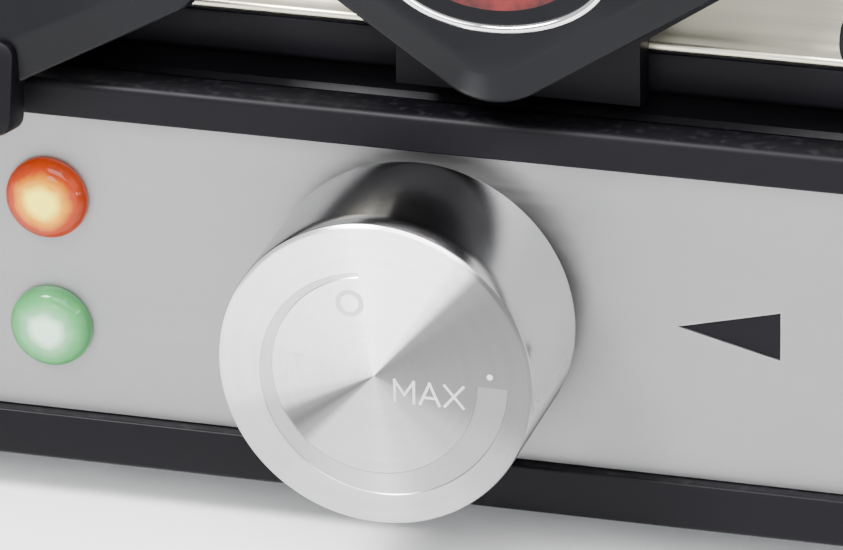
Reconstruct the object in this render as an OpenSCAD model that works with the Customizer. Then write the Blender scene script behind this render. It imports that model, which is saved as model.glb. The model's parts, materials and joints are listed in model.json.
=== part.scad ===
// Table-top waffle iron with a steel control fascia, a thermostat knob and two pilot lamps.
// Frame: +X right, +Y to the rear, +Z up; the origin is on the table, in the middle of the footprint.

/* [Body] */
// Width of the base and of its rim
body_w = 250; // [246:1:270]
// Depth of the base, from its front face to its rear wall
body_d = 222; // [220:1:240]
// Plan radius of the corners of the base
body_r = 16; // [14:1:22]
// Height of the feet under the base
foot_h = 8; // [7:0.5:12]
// Height of the black strip under the fascia
lower_trim_h = 7.3; // [6:0.1:10]
// Height of the rim above the fascia
rim_h = 5.7; // [5.4:0.1:7]
// How far the black strips stand proud of the fascia
trim_proud = 2; // [1.4:0.1:2.4]

/* [Control front] */
// Width of the brushed fascia
fascia_w = 228; // [220:1:234]
// Height of the brushed fascia
fascia_h = 47.4; // [46.8:0.2:52]
// Sheet thickness of the fascia
fascia_t = 0.8; // [0.6:0.1:1]
// Position of the knob axis across the front
knob_x = -14.5; // [-17:0.5:-8]
// Distance from the knob axis to the pilot lamps
lamp_reach = 57; // [52:1:60]
// Distance between the two pilot lamps
lamp_pitch = 20.3; // [18:0.1:24]
// Diameter of a pilot lens
lens_d = 12.4; // [11:0.2:13]

/* [Knob] */
// Diameter of the knob cap
knob_d = 46; // [44:1:46]
// Distance from the fascia to the knob face
knob_reach = 27.1; // [25:0.1:29]
// Gap between the fascia and the edge of the cap
knob_gap = 3.5; // [3.4:0.1:4.4]
// Turn from the highest setting back to off, in degrees
knob_turn = 262; // [240:1:300]

/* [Lid] */
// Parting gap between the base rim and the lid frame
part_gap = 1.2; // [1:0.1:2]
// Height of the black lid frame
frame_h = 6.7; // [6:0.1:7.4]
// Height of the steel cover above the frame
cover_h = 18; // [17.5:0.5:20]
// How far the lid stands back from the front of the base
lid_inset = 13; // [12:0.5:14]

/* [Baking plates] */
// Width of a baking plate
plate_w = 190; // [190:1:194]
// Depth of a baking plate
plate_d = 156; // [156:1:160]
// Distance between the pegs of the waffle pattern
peg_pitch = 17; // [15:0.5:17]
// Side of one peg
peg_side = 11; // [8:0.5:12]
// Height of one peg
peg_h = 6; // [4:0.5:6]

/* [Handle and latches] */
// Position of the handle across the lid
handle_x = -2.5; // [-6:0.5:6]
// Half of the width of a shield
shield_half_w = 34; // [30:1:36]
// Radius of the rounded point of a shield
shield_tip_r = 11.5; // [8:0.5:12]
// Lean of a shield from the vertical, towards the lid
shield_lean = 12; // [9:1:13]
// Height of the handle shield
handle_h = 38; // [36:1:44]
// Thickness of the handle shield
handle_t = 9; // [8:0.5:9]
// Thickness of a latch shield
latch_t = 6; // [5:0.5:6]

/* [Hidden] */
$fn = 64;
soft_fn = 32;               // facets where a hull blends a shape
clear = 0.3;                // gap between moving pieces
fit_clear = 0.05;           // radial gap of a running fit
side_wall = 4;              // side walls of the base
end_wall = 5;               // front and rear walls of the base
hinge_reach = 12;           // the hinge stands this far behind the base
overall_d = knob_reach + body_d - trim_proud + hinge_reach;

face_y = knob_reach - overall_d / 2;         // outer face of the fascia
front_y = face_y - trim_proud;               // front of the black mouldings
rear_y = front_y + body_d;                   // rear wall of the base
mid_y = (front_y + rear_y) / 2;
wall_back = front_y + end_wall;              // rear face of the front wall

tub_z = foot_h;
floor_z = tub_z + 1;                         // top of the sheet-metal floor
fascia_z = tub_z + lower_trim_h;             // lower edge of the fascia
rim_z = fascia_z + fascia_h;                 // lower edge of the rim
base_top = rim_z + rim_h;
axis_z = fascia_z + fascia_h / 2;            // knob axis and middle of the fascia
frame_z = base_top + part_gap;
cover_z = frame_z + frame_h;
lid_top = cover_z + cover_h;

lid_front = front_y + lid_inset;
lid_rear = rear_y - 5;
lid_w = body_w - 2 * (lid_inset - trim_proud);
lid_d = lid_rear - lid_front;
lid_mid_y = (lid_front + lid_rear) / 2;
lid_r = body_r - 4;
sheet = 1;                                   // thickness of the lid cover

plate_y = lid_mid_y;                         // middle of the baking plates
plate_land = 7;                              // width of the flat edge of a plate
cavity_h = 9;                                // depth of the baking cavity in one plate
plate_t = 12;
lower_face = base_top + 0.6;                 // mating face of the lower plate
upper_face = frame_z - 0.4;                  // mating face of the upper plate
tray_h = 7.8;                                // height of a heat reflector
tray_inset = 10;                             // a reflector is this much smaller all round
post_x = 60;                                 // posts that carry the reflectors
post_y = 48;
foot_x = 96;
foot_y = 84;

hinge_y = rear_y + 6;
hinge_z = base_top + 1;
hinge_x = 72;                                // middle of each hinge
hinge_r = 6;
hinge_pin_r = 2.5;
hinge_pin_l = 24;
lid_ear_w = 12;
base_ear_w = 5;

spindle_r = 3;
bush_r = 5;
bush_front = 3;                              // the bush ends this far in front of the fascia
bush_flange = 1.7;
lens_stem_r = 4.9;
lamp_x = knob_x - lamp_reach;

handle_slope = 32;                           // rise of the lower edges of the handle
shield_front = face_y - 10;                  // front of the point of every shield
latch_slope = 28;                            // the same for a latch
handle_tip_z = base_top + 6.1;               // lowest point of the handle
latch_tip_z = handle_tip_z - 6.3;
latch_h = 27;
latch_x = 79.5;                              // middle of each latch
tongue_half_w = 7;
latch_pin_y = face_y + 6;
latch_pin_z = latch_tip_z + 18.8;
latch_pin_r = 1.5;
latch_knuckle_r = 4.4;
latch_ear_w = 4;
mount_half_w = 18;                           // half-width of the handle mount
screw_x = 9;                                 // screws of the handle, from its middle

gland_x = 62;
gland_z = 28;
gland_bore_r = 3.6;

// ---------- shapes that repeat ----------

// A slab whose plan is a rounded rectangle, centred in X and Y, standing on z = 0.
module slab(w, d, h, r) {
    linear_extrude(h) {
        square([w - 2 * r, d], center = true);
        square([w, d - 2 * r], center = true);
        for (sx = [-1, 1], sy = [-1, 1])
            translate([sx * (w / 2 - r), sy * (d / 2 - r)])
                circle(r);
    }
}

// A slab whose upper edge is bevelled by e.
module bevelled_slab(w, d, h, r, e) {
    hull() {
        slab(w, d, h - e, r, $fn = soft_fn);
        slab(w - 2 * e, d - 2 * e, h, r - e, $fn = soft_fn);
    }
}

// A cylinder along +Y, starting at the origin.
module rod_y(r, l) {
    rotate([-90, 0, 0])
        cylinder(r = r, h = l);
}

// A cylinder along X, centred on the origin.
module rod_x(r, l) {
    rotate([0, 90, 0])
        cylinder(r = r, h = l, center = true);
}

// A pan-head screw that points up, with its seat at the origin and a cross recess.
module screw(shank_r, shank_l, head_r, head_h) {
    difference() {
        union() {
            cylinder(r = shank_r, h = shank_l);
            translate([0, 0, -head_h])
                cylinder(r = head_r, h = head_h);
        }
        for (a = [0, 90])
            rotate([0, 0, a])
                translate([-head_r * 0.6, -0.4, -head_h - 1])
                    cube([head_r * 1.2, 0.8, 1 + head_h * 0.6]);
    }
}

// Copies its children to the four corners of a rectangle.
module at_corners(dx, dy) {
    for (sx = [-1, 1], sy = [-1, 1])
        translate([sx * dx, sy * dy, 0])
            children();
}

// Points on a smooth curve through the list p, n to each stretch.
function blend(a, b, c, d, t) =
    0.5 * (2 * b + (c - a) * t + (2 * a - 5 * b + 4 * c - d) * t * t
        + (3 * b - a - 3 * c + d) * t * t * t);
function smooth(p, n) = [
    for (i = [0 : len(p) - 2], k = [0 : n - 1])
        blend(p[max(i - 1, 0)], p[i], p[i + 1], p[min(i + 2, len(p) - 1)], k / n),
    p[len(p) - 1]
];
function unit(v) = v / norm(v);
function heading(p, i) = unit(p[min(i + 1, len(p) - 1)] - p[max(i - 1, 0)]);
function side(t) = unit(cross(t, [0.5, -0.3, 0.8]));

// A round wire of radius r along the list of points p.
module wire(p, r) {
    sides = 8;
    n = len(p);
    rings = [
        for (i = [0 : n - 1])
            let (t = heading(p, i), u = side(t), v = cross(t, u))
            for (k = [0 : sides - 1])
                p[i] + r * (cos(360 * k / sides) * u + sin(360 * k / sides) * v)
    ];
    walls = [
        for (i = [0 : n - 2], k = [0 : sides - 1])
            let (a = i * sides + k, b = i * sides + (k + 1) % sides)
            [a, b, b + sides, a + sides]
    ];
    ends = [
        [for (k = [sides - 1 : -1 : 0]) k],
        [for (k = [0 : sides - 1]) (n - 1) * sides + k]
    ];
    polyhedron(rings, concat(walls, ends), convexity = 6);
}

// ---------- base ----------

// Black plastic walls of the base, open at the top and below, with a pocket for the fascia.
module base_tub() {
    tub_h = rim_z - tub_z;
    pocket = trim_proud + fascia_t;
    boss_x = body_w / 2 - 8;
    color([0.10, 0.10, 0.11])
    difference() {
        union() {
            difference() {
                translate([0, mid_y, tub_z])
                    slab(body_w, body_d, tub_h, body_r);
                translate([0, mid_y, tub_z - 1])
                    slab(body_w - 2 * side_wall, body_d - 2 * end_wall, tub_h + 2, body_r - 3);
            }
            for (sx = [-1, 1], y = [-60, 0, 60])
                translate([sx * boss_x, mid_y + y, floor_z])
                    cylinder(r = 4.5, h = 20);
        }
        for (sx = [-1, 1], y = [-60, 0, 60])
            translate([sx * boss_x, mid_y + y, tub_z])
                cylinder(r = 1.45, h = 12);
        translate([-fascia_w / 2, front_y - 1, fascia_z])
            cube([fascia_w, pocket + 1, fascia_h + 1]);
        translate([knob_x, front_y - 1, axis_z])
            rod_y(bush_r, 12);
        for (s = [-1, 1])
            translate([lamp_x, front_y - 1, axis_z + s * lamp_pitch / 2])
                rod_y(lens_stem_r, 12);
        translate([gland_x, rear_y + 1 - 12, gland_z])
            rod_y(6, 13);
    }
}

// Frame on top of the base: its front edge is the black strip above the fascia, and a drip
// groove runs behind that edge.
module base_rim() {
    groove_out = 6;
    groove_in = 17;
    color([0.12, 0.12, 0.13])
    difference() {
        translate([0, mid_y, rim_z])
            bevelled_slab(body_w, body_d, rim_h, body_r, 1);
        translate([0, plate_y, rim_z - 1])
            slab(plate_w + 1, plate_d + 1, rim_h + 2, 8);
        difference() {
            translate([0, mid_y, base_top - 4.4])
                slab(body_w - 2 * groove_out, body_d - 2 * groove_out, 6, body_r - groove_out);
            translate([0, mid_y, base_top - 5])
                slab(body_w - 2 * groove_in, body_d - 2 * groove_in, 8, 6);
        }
    }
}

// Sheet-metal floor with rows of cooling slots.
module bottom_plate() {
    color([0.62, 0.63, 0.64])
    difference() {
        translate([0, mid_y, tub_z])
            slab(body_w - 2 * side_wall - 0.6, body_d - 2 * end_wall - 0.6, 1, body_r - 3);
        for (row = [-1, 1], i = [-6 : 6])
            translate([i * 12, mid_y + row * 40, tub_z - 1])
                slab(4, 28, 3, 1.9);
        translate([0, mid_y, tub_z - 1])
            at_corners(foot_x, foot_y)
                cylinder(r = 2.1, h = 3);
        for (sx = [-1, 1], y = [-60, 0, 60])
            translate([sx * (body_w / 2 - 8), mid_y + y, tub_z - 1])
                cylinder(r = 1.6, h = 3);
    }
}

// Six screws along the edges of the floor.
module bottom_screws() {
    color([0.75, 0.75, 0.76])
    for (sx = [-1, 1], y = [-60, 0, 60])
        translate([sx * (body_w / 2 - 8), mid_y + y, tub_z])
            screw(1.4, 9, 3, 1.6);
}

// Rubber feet with a soft lower edge and a recess for the screw.
module feet() {
    color([0.09, 0.09, 0.09])
    translate([0, mid_y, 0])
        at_corners(foot_x, foot_y)
            rotate_extrude()
                polygon([[4.5, 2.5], [4.5, 0], [8.6, 0], [9.6, 1], [10.6, foot_h], [2.2, foot_h],
                         [2.2, 2.5]]);
}

module foot_screws() {
    color([0.75, 0.75, 0.76])
    translate([0, mid_y, 2.5])
        at_corners(foot_x, foot_y)
            screw(2, foot_h - 1, 4.2, 1.6);
}

// ---------- control front ----------

pointer_tip = knob_x + 37.3;
pointer_l = 14.6;
pointer_half = 3.5;

// The triangle that points at the knob, grown by g.
module pointer_outline(g) {
    polygon([[pointer_tip - 2 * g, 0], [pointer_tip + pointer_l + g, pointer_half + 1.3 * g],
             [pointer_tip + pointer_l + g, -pointer_half - 1.3 * g]]);
}

// Brushed steel sheet with holes for the bush, the lamps and the pointer.
module fascia() {
    color([0.74, 0.74, 0.745])
    difference() {
        translate([-fascia_w / 2 + 0.2, face_y, fascia_z + 0.2])
            cube([fascia_w - 0.4, fascia_t, fascia_h - 0.4]);
        translate([knob_x, face_y - 1, axis_z])
            rod_y(bush_r + 0.4, 4);
        for (s = [-1, 1])
            translate([lamp_x, face_y - 1, axis_z + s * lamp_pitch / 2])
                rod_y(lens_stem_r + 0.2, 4);
        translate([0, face_y + 2, axis_z])
            rotate([90, 0, 0])
                linear_extrude(4)
                    pointer_outline(0.15);
    }
}

// Black plastic triangle that fills the window and lies a little below the steel.
module pointer_insert() {
    color([0.13, 0.13, 0.14])
    translate([0, face_y + fascia_t - 0.01, axis_z])
        rotate([90, 0, 0])
            linear_extrude(fascia_t - 0.35)
                pointer_outline(0);
}

// Clear coloured dome with a stem that passes through the front.
module lens(z, shade) {
    dome_h = 3.4;
    color(shade)
    translate([lamp_x, face_y, z])
        rotate([90, 0, 0])
            rotate_extrude()
                polygon(concat(
                    [[0, -9], [lens_stem_r - 0.1, -9], [lens_stem_r - 0.1, 0], [lens_d / 2, 0],
                     [lens_d / 2, 0.6]],
                    [for (a = [6 : 6 : 90])
                        [lens_d / 2 * cos(a), 0.6 + (dome_h - 0.6) * sin(a)]]));
}

module amber_lens() { lens(axis_z + lamp_pitch / 2, [0.95, 0.42, 0.08, 0.8]); }
module green_lens() { lens(axis_z - lamp_pitch / 2, [0.35, 0.85, 0.45, 0.8]); }

// Neon bulb holders pushed onto the stems, with two blade contacts each.
module lamp_bodies() {
    color([0.85, 0.84, 0.78])
    for (s = [-1, 1])
        translate([lamp_x, face_y + 9, axis_z + s * lamp_pitch / 2]) {
            rod_y(4.6, 16);
            for (x = [-2.4, 2.4])
                translate([x - 0.4, 15, -1.4])
                    cube([0.8, 8, 2.8]);
        }
}

// Toothed steel rings that hold the lamps behind the wall.
module lamp_clips() {
    color([0.7, 0.7, 0.68])
    for (s = [-1, 1])
        translate([lamp_x, wall_back, axis_z + s * lamp_pitch / 2])
            difference() {
                rod_y(7.4, 0.6);
                translate([0, -1, 0])
                    rod_y(lens_stem_r, 3);
            }
}

// ---------- knob ----------

cap_wall = 1.2;
cap_bevel = 0.9;
cap_cut = 0.15;        // depth of the marks on the face
scale_r = 15;          // inner radius of the scale
scale_thin = 0.6;      // width of the scale at the off mark
scale_wide = 4.5;      // width at the highest setting
scale_start = 98;      // direction of the off mark, anticlockwise from +X

// The scale: a band with a round inner edge that widens outwards up to the highest setting.
module scale_band() {
    steps = 60;
    turn = [for (i = [0 : steps]) scale_start + knob_turn * i / steps];
    outer = [for (i = [0 : steps]) scale_r + scale_thin + (scale_wide - scale_thin) * i / steps];
    polygon(concat(
        [for (i = [0 : steps]) outer[i] * [cos(turn[i]), sin(turn[i])]],
        [for (i = [steps : -1 : 0]) scale_r * [cos(turn[i]), sin(turn[i])]]));
}

// The off mark, a small ring beside the thin end of the scale.
module off_mark() {
    translate([-3.4, 10.8])
        difference() {
            circle(r = 2.1);
            circle(r = 1.4);
        }
}

// Turned aluminium cup whose flat face carries the engraved scale.
module knob_cap() {
    r = knob_d / 2;
    depth = knob_reach - knob_gap;
    color([0.83, 0.83, 0.84])
    translate([knob_x, face_y - knob_gap, axis_z])
        rotate([90, 0, 0])
            difference() {
                rotate_extrude($fn = 96)
                    polygon([[r - cap_wall, 0], [r, 0], [r, depth - cap_bevel], [r - cap_bevel, depth],
                             [0, depth], [0, depth - cap_wall], [r - cap_wall, depth - cap_wall]]);
                translate([0, 0, depth - cap_cut])
                    linear_extrude(1) {
                        scale_band();
                        off_mark();
                    }
            }
}

// Black plastic core: hub, rim and six ribs, with a flat in the bore for the spindle.
module knob_core() {
    r = knob_d / 2 - cap_wall - 0.02;
    depth = knob_reach - knob_gap - cap_wall - 0.02;
    hub_r = 7;
    color([0.10, 0.10, 0.10])
    translate([knob_x, face_y - knob_gap, axis_z])
        rotate([90, 0, 0])
            difference() {
                union() {
                    translate([0, 0, depth - 3])
                        cylinder(r = r, h = 3);
                    difference() {
                        translate([0, 0, -2.4])
                            cylinder(r = 18, h = depth + 2.4);
                        translate([0, 0, -3])
                            cylinder(r = 16, h = depth);
                    }
                    translate([0, 0, 1])
                        cylinder(r = hub_r, h = depth - 1);
                    for (a = [0 : 60 : 300])
                        rotate([0, 0, a])
                            translate([hub_r - 1, -0.8, 6])
                                cube([r - hub_r + 0.5, 1.6, depth - 6]);
                }
                translate([0, 0, -1])
                    cylinder(r = spindle_r + 0.4, h = 18);
            }
}

// Split spring sleeve that grips the spindle in the hub.
module knob_clip() {
    color([0.72, 0.72, 0.74])
    translate([knob_x, face_y - knob_gap - 3, axis_z])
        rotate([90, 0, 0])
            difference() {
                cylinder(r = spindle_r + 0.38, h = 11);
                translate([0, 0, -1])
                    cylinder(r = spindle_r + 0.02, h = 13);
                translate([-0.7, 0, -1])
                    cube([1.4, 6, 13]);
            }
}

// ---------- thermostat ----------

body_y = wall_back + bush_flange;            // front of the thermostat body
spindle_tail = 12;                           // the spindle ends this far behind the fascia
rivet_x = 10.5;                              // rivets of the leaves, from the knob axis

// Steel spindle with a flat where the knob sits.
module spindle() {
    nose = knob_gap + 15;
    color([0.66, 0.66, 0.68])
    translate([knob_x, face_y - nose, axis_z])
        difference() {
            rod_y(spindle_r, nose + spindle_tail);
            translate([-5, -1, 1.9])
                cube([10, 13, 3]);
        }
}

// Threaded brass bush that the spindle turns in.
module thermostat_bush() {
    color([0.78, 0.63, 0.34])
    translate([knob_x, face_y - bush_front, axis_z])
        difference() {
            union() {
                rod_y(bush_r - 0.05, bush_front + body_y - face_y);
                translate([0, bush_front + wall_back - face_y, 0])
                    rod_y(8, bush_flange);
            }
            translate([0, -1, 0])
                rod_y(spindle_r + fit_clear, 20);
        }
}

// Thin hexagon nut that clamps the bush to the fascia.
module thermostat_nut() {
    color([0.75, 0.75, 0.72])
    translate([knob_x, face_y - 2.4, axis_z])
        difference() {
            rotate([-90, 0, 0])
                cylinder(r = 8, h = 2.38, $fn = 6);
            translate([0, -1, 0])
                rod_y(bush_r - 0.02, 5);
        }
}

blade_x = 19.1;                              // middle of a blade, from the knob axis
blade_t = 0.8;
blade_l = 20;
blade_w = 6;
blade_back = 3;                              // the blades start this far behind the body's front

// Blades of the thermostat, grown by g.
module blades(g) {
    for (x = [-blade_x, blade_x])
        translate([knob_x + x - blade_t / 2 - g, body_y + blade_back - g, axis_z - blade_w / 2 - g])
            cube([blade_t + 2 * g, blade_l + g, blade_w + 2 * g]);
}

// Ceramic body with a well for the spindle end and the plunger, and slots for the blades.
module thermostat_body() {
    color([0.90, 0.88, 0.82])
    difference() {
        translate([knob_x, body_y, axis_z])
            difference() {
                union() {
                    translate([-15, 0, -12])
                        cube([30, 16, 24]);
                    translate([-22, 2, -6])
                        cube([44, 5, 12]);
                }
                translate([0, -1, 0])
                    rod_y(spindle_r + 0.4, 18);
                for (x = [-rivet_x, rivet_x])
                    translate([x, 12, 0])
                        rod_y(1.6, 6);
            }
        blades(0.02);
    }
}

// Ceramic pin that the spindle screw pushes against the contact leaf.
module thermostat_plunger() {
    color([0.96, 0.95, 0.92])
    translate([knob_x, face_y + spindle_tail + 0.1, axis_z])
        rod_y(spindle_r + 0.3, body_y + 18.4 - face_y - spindle_tail);
}

// Bimetal strip and contact leaves, riveted to the body at one end.
module thermostat_leaves() {
    color([0.80, 0.60, 0.38])
    translate([knob_x, body_y + 16, axis_z]) {
        for (layer = [0 : 2])
            translate([-14, 2.6 + layer * 3.2, -3.5])
                cube([28 - layer * 2, 0.6, 7]);
        for (x = [-rivet_x, rivet_x])
            translate([x, -3.5, 0])
                rod_y(1.5, x < 0 ? 13 : 5.4);
    }
}

module thermostat_terminals() {
    color([0.80, 0.80, 0.78])
    blades(0);
}

// ---------- baking plates ----------

// Cast plate with its mating face on z = 0 and its cavity open upwards.
module waffle_plate() {
    nx = 5;
    ny = 4;
    inner_w = plate_w - 2 * plate_land;
    inner_d = plate_d - 2 * plate_land;
    difference() {
        translate([0, 0, -plate_t])
            slab(plate_w, plate_d, plate_t, 7);
        translate([0, 0, -cavity_h])
            slab(inner_w, inner_d, cavity_h + 1, 5);
    }
    for (i = [-nx : nx - 1], j = [-ny : ny - 1])
        translate([(i + 0.5) * peg_pitch + (i < 0 ? -3 : 3) - peg_side / 2,
                   (j + 0.5) * peg_pitch - peg_side / 2, -cavity_h - 0.5])
            cube([peg_side, peg_side, peg_h + 0.5]);
    translate([-1.5, -inner_d / 2 - 0.5, -cavity_h - 0.5])
        cube([3, inner_d + 1, 3.5]);
}

module lower_plate() {
    color([0.16, 0.16, 0.17])
    translate([0, plate_y, lower_face])
        waffle_plate();
}

module upper_plate() {
    color([0.16, 0.16, 0.17])
    translate([0, plate_y, upper_face])
        mirror([0, 0, 1])
            waffle_plate();
}

element_r = 3.25;
element_leg = 34;                            // half the straight length of the heater
element_bend = 25;
element_end = element_leg + 12;              // the cold pins turn off here

// Tubular heater: four legs, three bends, and two cold pins that turn away from the plate.
module heater() {
    for (i = [-1.5 : 1 : 1.5])
        translate([i * 2 * element_bend, -element_leg, 0])
            rod_y(element_r, 2 * element_leg);
    for (s = [-1, 1])
        translate([s * 2 * element_bend, -element_leg, 0])
            rotate([0, 0, 180])
                rotate_extrude(angle = 180)
                    translate([element_bend, 0])
                        circle(element_r, $fn = 32);
    translate([0, element_leg, 0])
        rotate_extrude(angle = 180)
            translate([element_bend, 0])
                circle(element_r, $fn = 32);
    for (s = [-1, 1])
        translate([s * 3 * element_bend, element_leg, 0]) {
            rod_y(1.6, 12);
            translate([0, 12, -7])
                cylinder(r = 1.6, h = 8);
        }
}

// A shallow sheet-metal tray, open upwards, with two holes for the heater's pins.
module tray() {
    w = plate_w - 2 * tray_inset;
    d = plate_d - 2 * tray_inset;
    difference() {
        slab(w, d, tray_h, 6);
        translate([0, 0, 0.7])
            slab(w - 1.4, d - 1.4, tray_h, 5.3);
        for (s = [-1, 1])
            translate([s * 3 * element_bend, element_end - element_offset, -1])
                cylinder(r = 3, h = 3);
    }
}

element_offset = 2;                          // the heater stands this far in front of the middle
element_drop = plate_t + element_r + 0.3;    // heater axis below the mating face

module lower_element() {
    color([0.35, 0.35, 0.36])
    translate([0, plate_y - element_offset, lower_face - element_drop])
        heater();
}

module upper_element() {
    color([0.35, 0.35, 0.36])
    translate([0, plate_y - element_offset, upper_face + element_drop])
        mirror([0, 0, 1])
            heater();
}

module lower_reflector() {
    color([0.70, 0.71, 0.72])
    translate([0, plate_y, lower_face - plate_t - tray_h])
        tray();
}

module upper_reflector() {
    color([0.70, 0.71, 0.72])
    translate([0, plate_y, upper_face + plate_t + tray_h])
        mirror([0, 0, 1])
            tray();
}

// Posts that carry the lower reflector on the floor.
module reflector_posts() {
    color([0.72, 0.72, 0.72])
    translate([0, plate_y, floor_z])
        at_corners(post_x, post_y)
            cylinder(r = 4, h = lower_face - plate_t - tray_h - floor_z);
}

// Stepped strap that ties a plate to the frame beside it: foot on z = 0, flange at height h.
module strap(h) {
    edge = plate_w / 2;
    for (s = [-1, 1], y = [-40, 40])
        scale([s, 1, 1])
            translate([0, y + 6, 0])
                rotate([90, 0, 0])
                    linear_extrude(12)
                        polygon([[edge + 12, 0], [edge + 12, 1], [edge + 3, 1], [edge + 3, h + 1],
                                 [edge - 6, h + 1], [edge - 6, h], [edge + 2, h], [edge + 2, 0]]);
}

module lower_brackets() {
    color([0.72, 0.72, 0.73])
    translate([0, plate_y, rim_z])
        mirror([0, 0, 1])
            strap(rim_z - lower_face + plate_t);
}

module upper_brackets() {
    color([0.72, 0.72, 0.73])
    translate([0, plate_y, cover_z])
        strap(upper_face + plate_t - cover_z);
}

// ---------- wiring and supply ----------

block_x = 40;
block_y = rear_y - 46;
block_face = block_y - 0.2;                  // the wires start here

// Three-way terminal block with clamp screws.
module terminal_block() {
    color([0.88, 0.88, 0.84])
    translate([block_x - 16, block_y, floor_z])
        difference() {
            cube([32, 16, 15]);
            for (i = [0 : 2])
                translate([5.5 + i * 10.5, 8, 9])
                    cylinder(r = 2.4, h = 7);
        }
}

// Axial fuse in a glass-fibre sleeve.
module thermal_fuse() {
    color([0.86, 0.83, 0.70])
    translate([-40, plate_y, lower_face - plate_t - tray_h - 2.6])
        rod_x(2.6, 30);
}

wire_r = 1.1;
stub = 8;                                    // straight length at each end of a wire
blade_end = body_y + blade_back + blade_l + 0.2;
lamp_end = face_y + 32.5;
pin_y = plate_y - element_offset + element_end;
pin_low = lower_face - element_drop - 7.2;
lamp_low = axis_z - lamp_pitch / 2;

// A wire from the terminal block, at x and height z, along the points p.
function from_block(x, z, p) = concat([[x, block_face, z], [x, block_face - stub, z]], p);

wire_routes = [
    // supply to the thermostat
    from_block(39, 18, [[38, 30, 13], [36, -10, 13], [26, -44, 18], [14, -58, 32],
        [knob_x + blade_x, blade_end + stub, axis_z], [knob_x + blade_x, blade_end, axis_z]]),
    // thermostat to the left end of the heater
    [[knob_x - blade_x, blade_end, axis_z], [knob_x - blade_x, blade_end + stub, axis_z], [-42, -56, 31],
        [-70, -42, 20], [-84, 0, 16], [-84, 36, 20], [-77, pin_y - 4, 31],
        [-75, pin_y, pin_low - stub], [-75, pin_y, pin_low]],
    // supply to the pilot lamps
    from_block(31, 18, [[28, 30, 13], [10, -10, 13], [-20, -42, 14], [-50, -50, 18],
        [lamp_x + 2.4, lamp_end + stub, lamp_low], [lamp_x + 2.4, lamp_end, lamp_low]]),
    // supply to the right end of the heater
    from_block(48, 18, [[56, 46, 20], [73, 46, 30], [75, pin_y, pin_low - stub], [75, pin_y, pin_low]])
];

module base_wires() {
    color([0.75, 0.20, 0.14])
    for (route = wire_routes)
        wire(smooth(route, 5), wire_r);
}

// Earth wire from the block to the floor.
module earth_wire() {
    color([0.45, 0.68, 0.20])
    wire(smooth(from_block(53, 13, [[52, 50, 12], [62, 32, 12], [82, 12, 12], [96, 0, 10.4]]), 6), wire_r);
}

// Two wires inside the lid, from its rear edge over the reflector to the pins of the heater.
module lid_wires() {
    height = upper_face + plate_t + tray_h + 1.8;
    color([0.75, 0.20, 0.14])
    for (s = [-1, 1])
        wire(smooth([[s * 84, 106, cover_z + 2.2], [s * 84, 98, cover_z + 5.4], [s * 80, 88, cover_z + 10.4],
                     [s * 76, 78, height], [s * 75, 66, height], [s * 75, pin_y + 1.9, height]], 5), wire_r);
}

// Flanged bush in the rear wall that the supply cord would pass through.
module cord_gland() {
    color([0.08, 0.08, 0.08])
    translate([gland_x, rear_y, gland_z])
        difference() {
            union() {
                translate([0, -8, 0])
                    rod_y(5.9, 9);
                rod_y(8.4, 3);
            }
            translate([0, -9, 0])
                rod_y(gland_bore_r, 14);
        }
}

// Clamp that holds the cord inside the base.
module cord_clamp() {
    color([0.85, 0.85, 0.82])
    translate([gland_x - 9, rear_y - 26, floor_z])
        difference() {
            cube([18, 9, 26]);
            translate([9, -1, gland_z - floor_z])
                rod_y(gland_bore_r + 0.2, 12);
            translate([-1, -1, gland_z - floor_z - 0.6])
                cube([4, 12, 1.2]);
            translate([15, -1, gland_z - floor_z - 0.6])
                cube([4, 12, 1.2]);
        }
}

// ---------- hinge ----------

// Two forked brackets on the rear wall of the base.
module hinge_brackets() {
    gap = lid_ear_w + 2 * clear;
    color([0.11, 0.11, 0.12])
    for (s = [-1, 1])
        translate([s * hinge_x, 0, 0])
            difference() {
                union() {
                    for (e = [-1, 1])
                        translate([e * (gap + base_ear_w) / 2, hinge_y, hinge_z]) {
                            rod_x(hinge_r, base_ear_w);
                            translate([-base_ear_w / 2, -6, -22])
                                cube([base_ear_w, 12, 22]);
                        }
                    translate([-gap / 2 - 1, rear_y, hinge_z - 22])
                        cube([gap + 2, 4, 13]);
                }
                translate([0, hinge_y, hinge_z])
                    rod_x(hinge_pin_r, 40);
            }
}

module hinge_pins() {
    color([0.70, 0.70, 0.72])
    for (s = [-1, 1])
        translate([s * hinge_x, hinge_y, hinge_z])
            rod_x(hinge_pin_r, hinge_pin_l);
}

// Ears screwed to the back of the lid frame, turning on the pins.
module lid_ears() {
    color([0.11, 0.11, 0.12])
    for (s = [-1, 1])
        translate([s * hinge_x, 0, 0])
            difference() {
                union() {
                    translate([0, hinge_y, hinge_z])
                        rod_x(hinge_r - 0.4, lid_ear_w);
                    translate([-lid_ear_w / 2, lid_rear, hinge_z])
                        cube([lid_ear_w, hinge_y - lid_rear + 3, 5.2]);
                    translate([-lid_ear_w / 2, lid_rear, hinge_z + 1.5])
                        cube([lid_ear_w, 3, 8]);
                }
                translate([0, hinge_y, hinge_z])
                    rod_x(hinge_pin_r + fit_clear, 40);
            }
}

// ---------- lid ----------

// Black frame around the upper plate.
module lid_frame() {
    color([0.10, 0.10, 0.11])
    difference() {
        translate([0, lid_mid_y, frame_z + frame_h])
            mirror([0, 0, 1])
                bevelled_slab(lid_w, lid_d, frame_h, lid_r, 1);
        translate([0, plate_y, frame_z - 1])
            slab(plate_w + 1, plate_d + 1, frame_h + 2, 8);
    }
}

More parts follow.
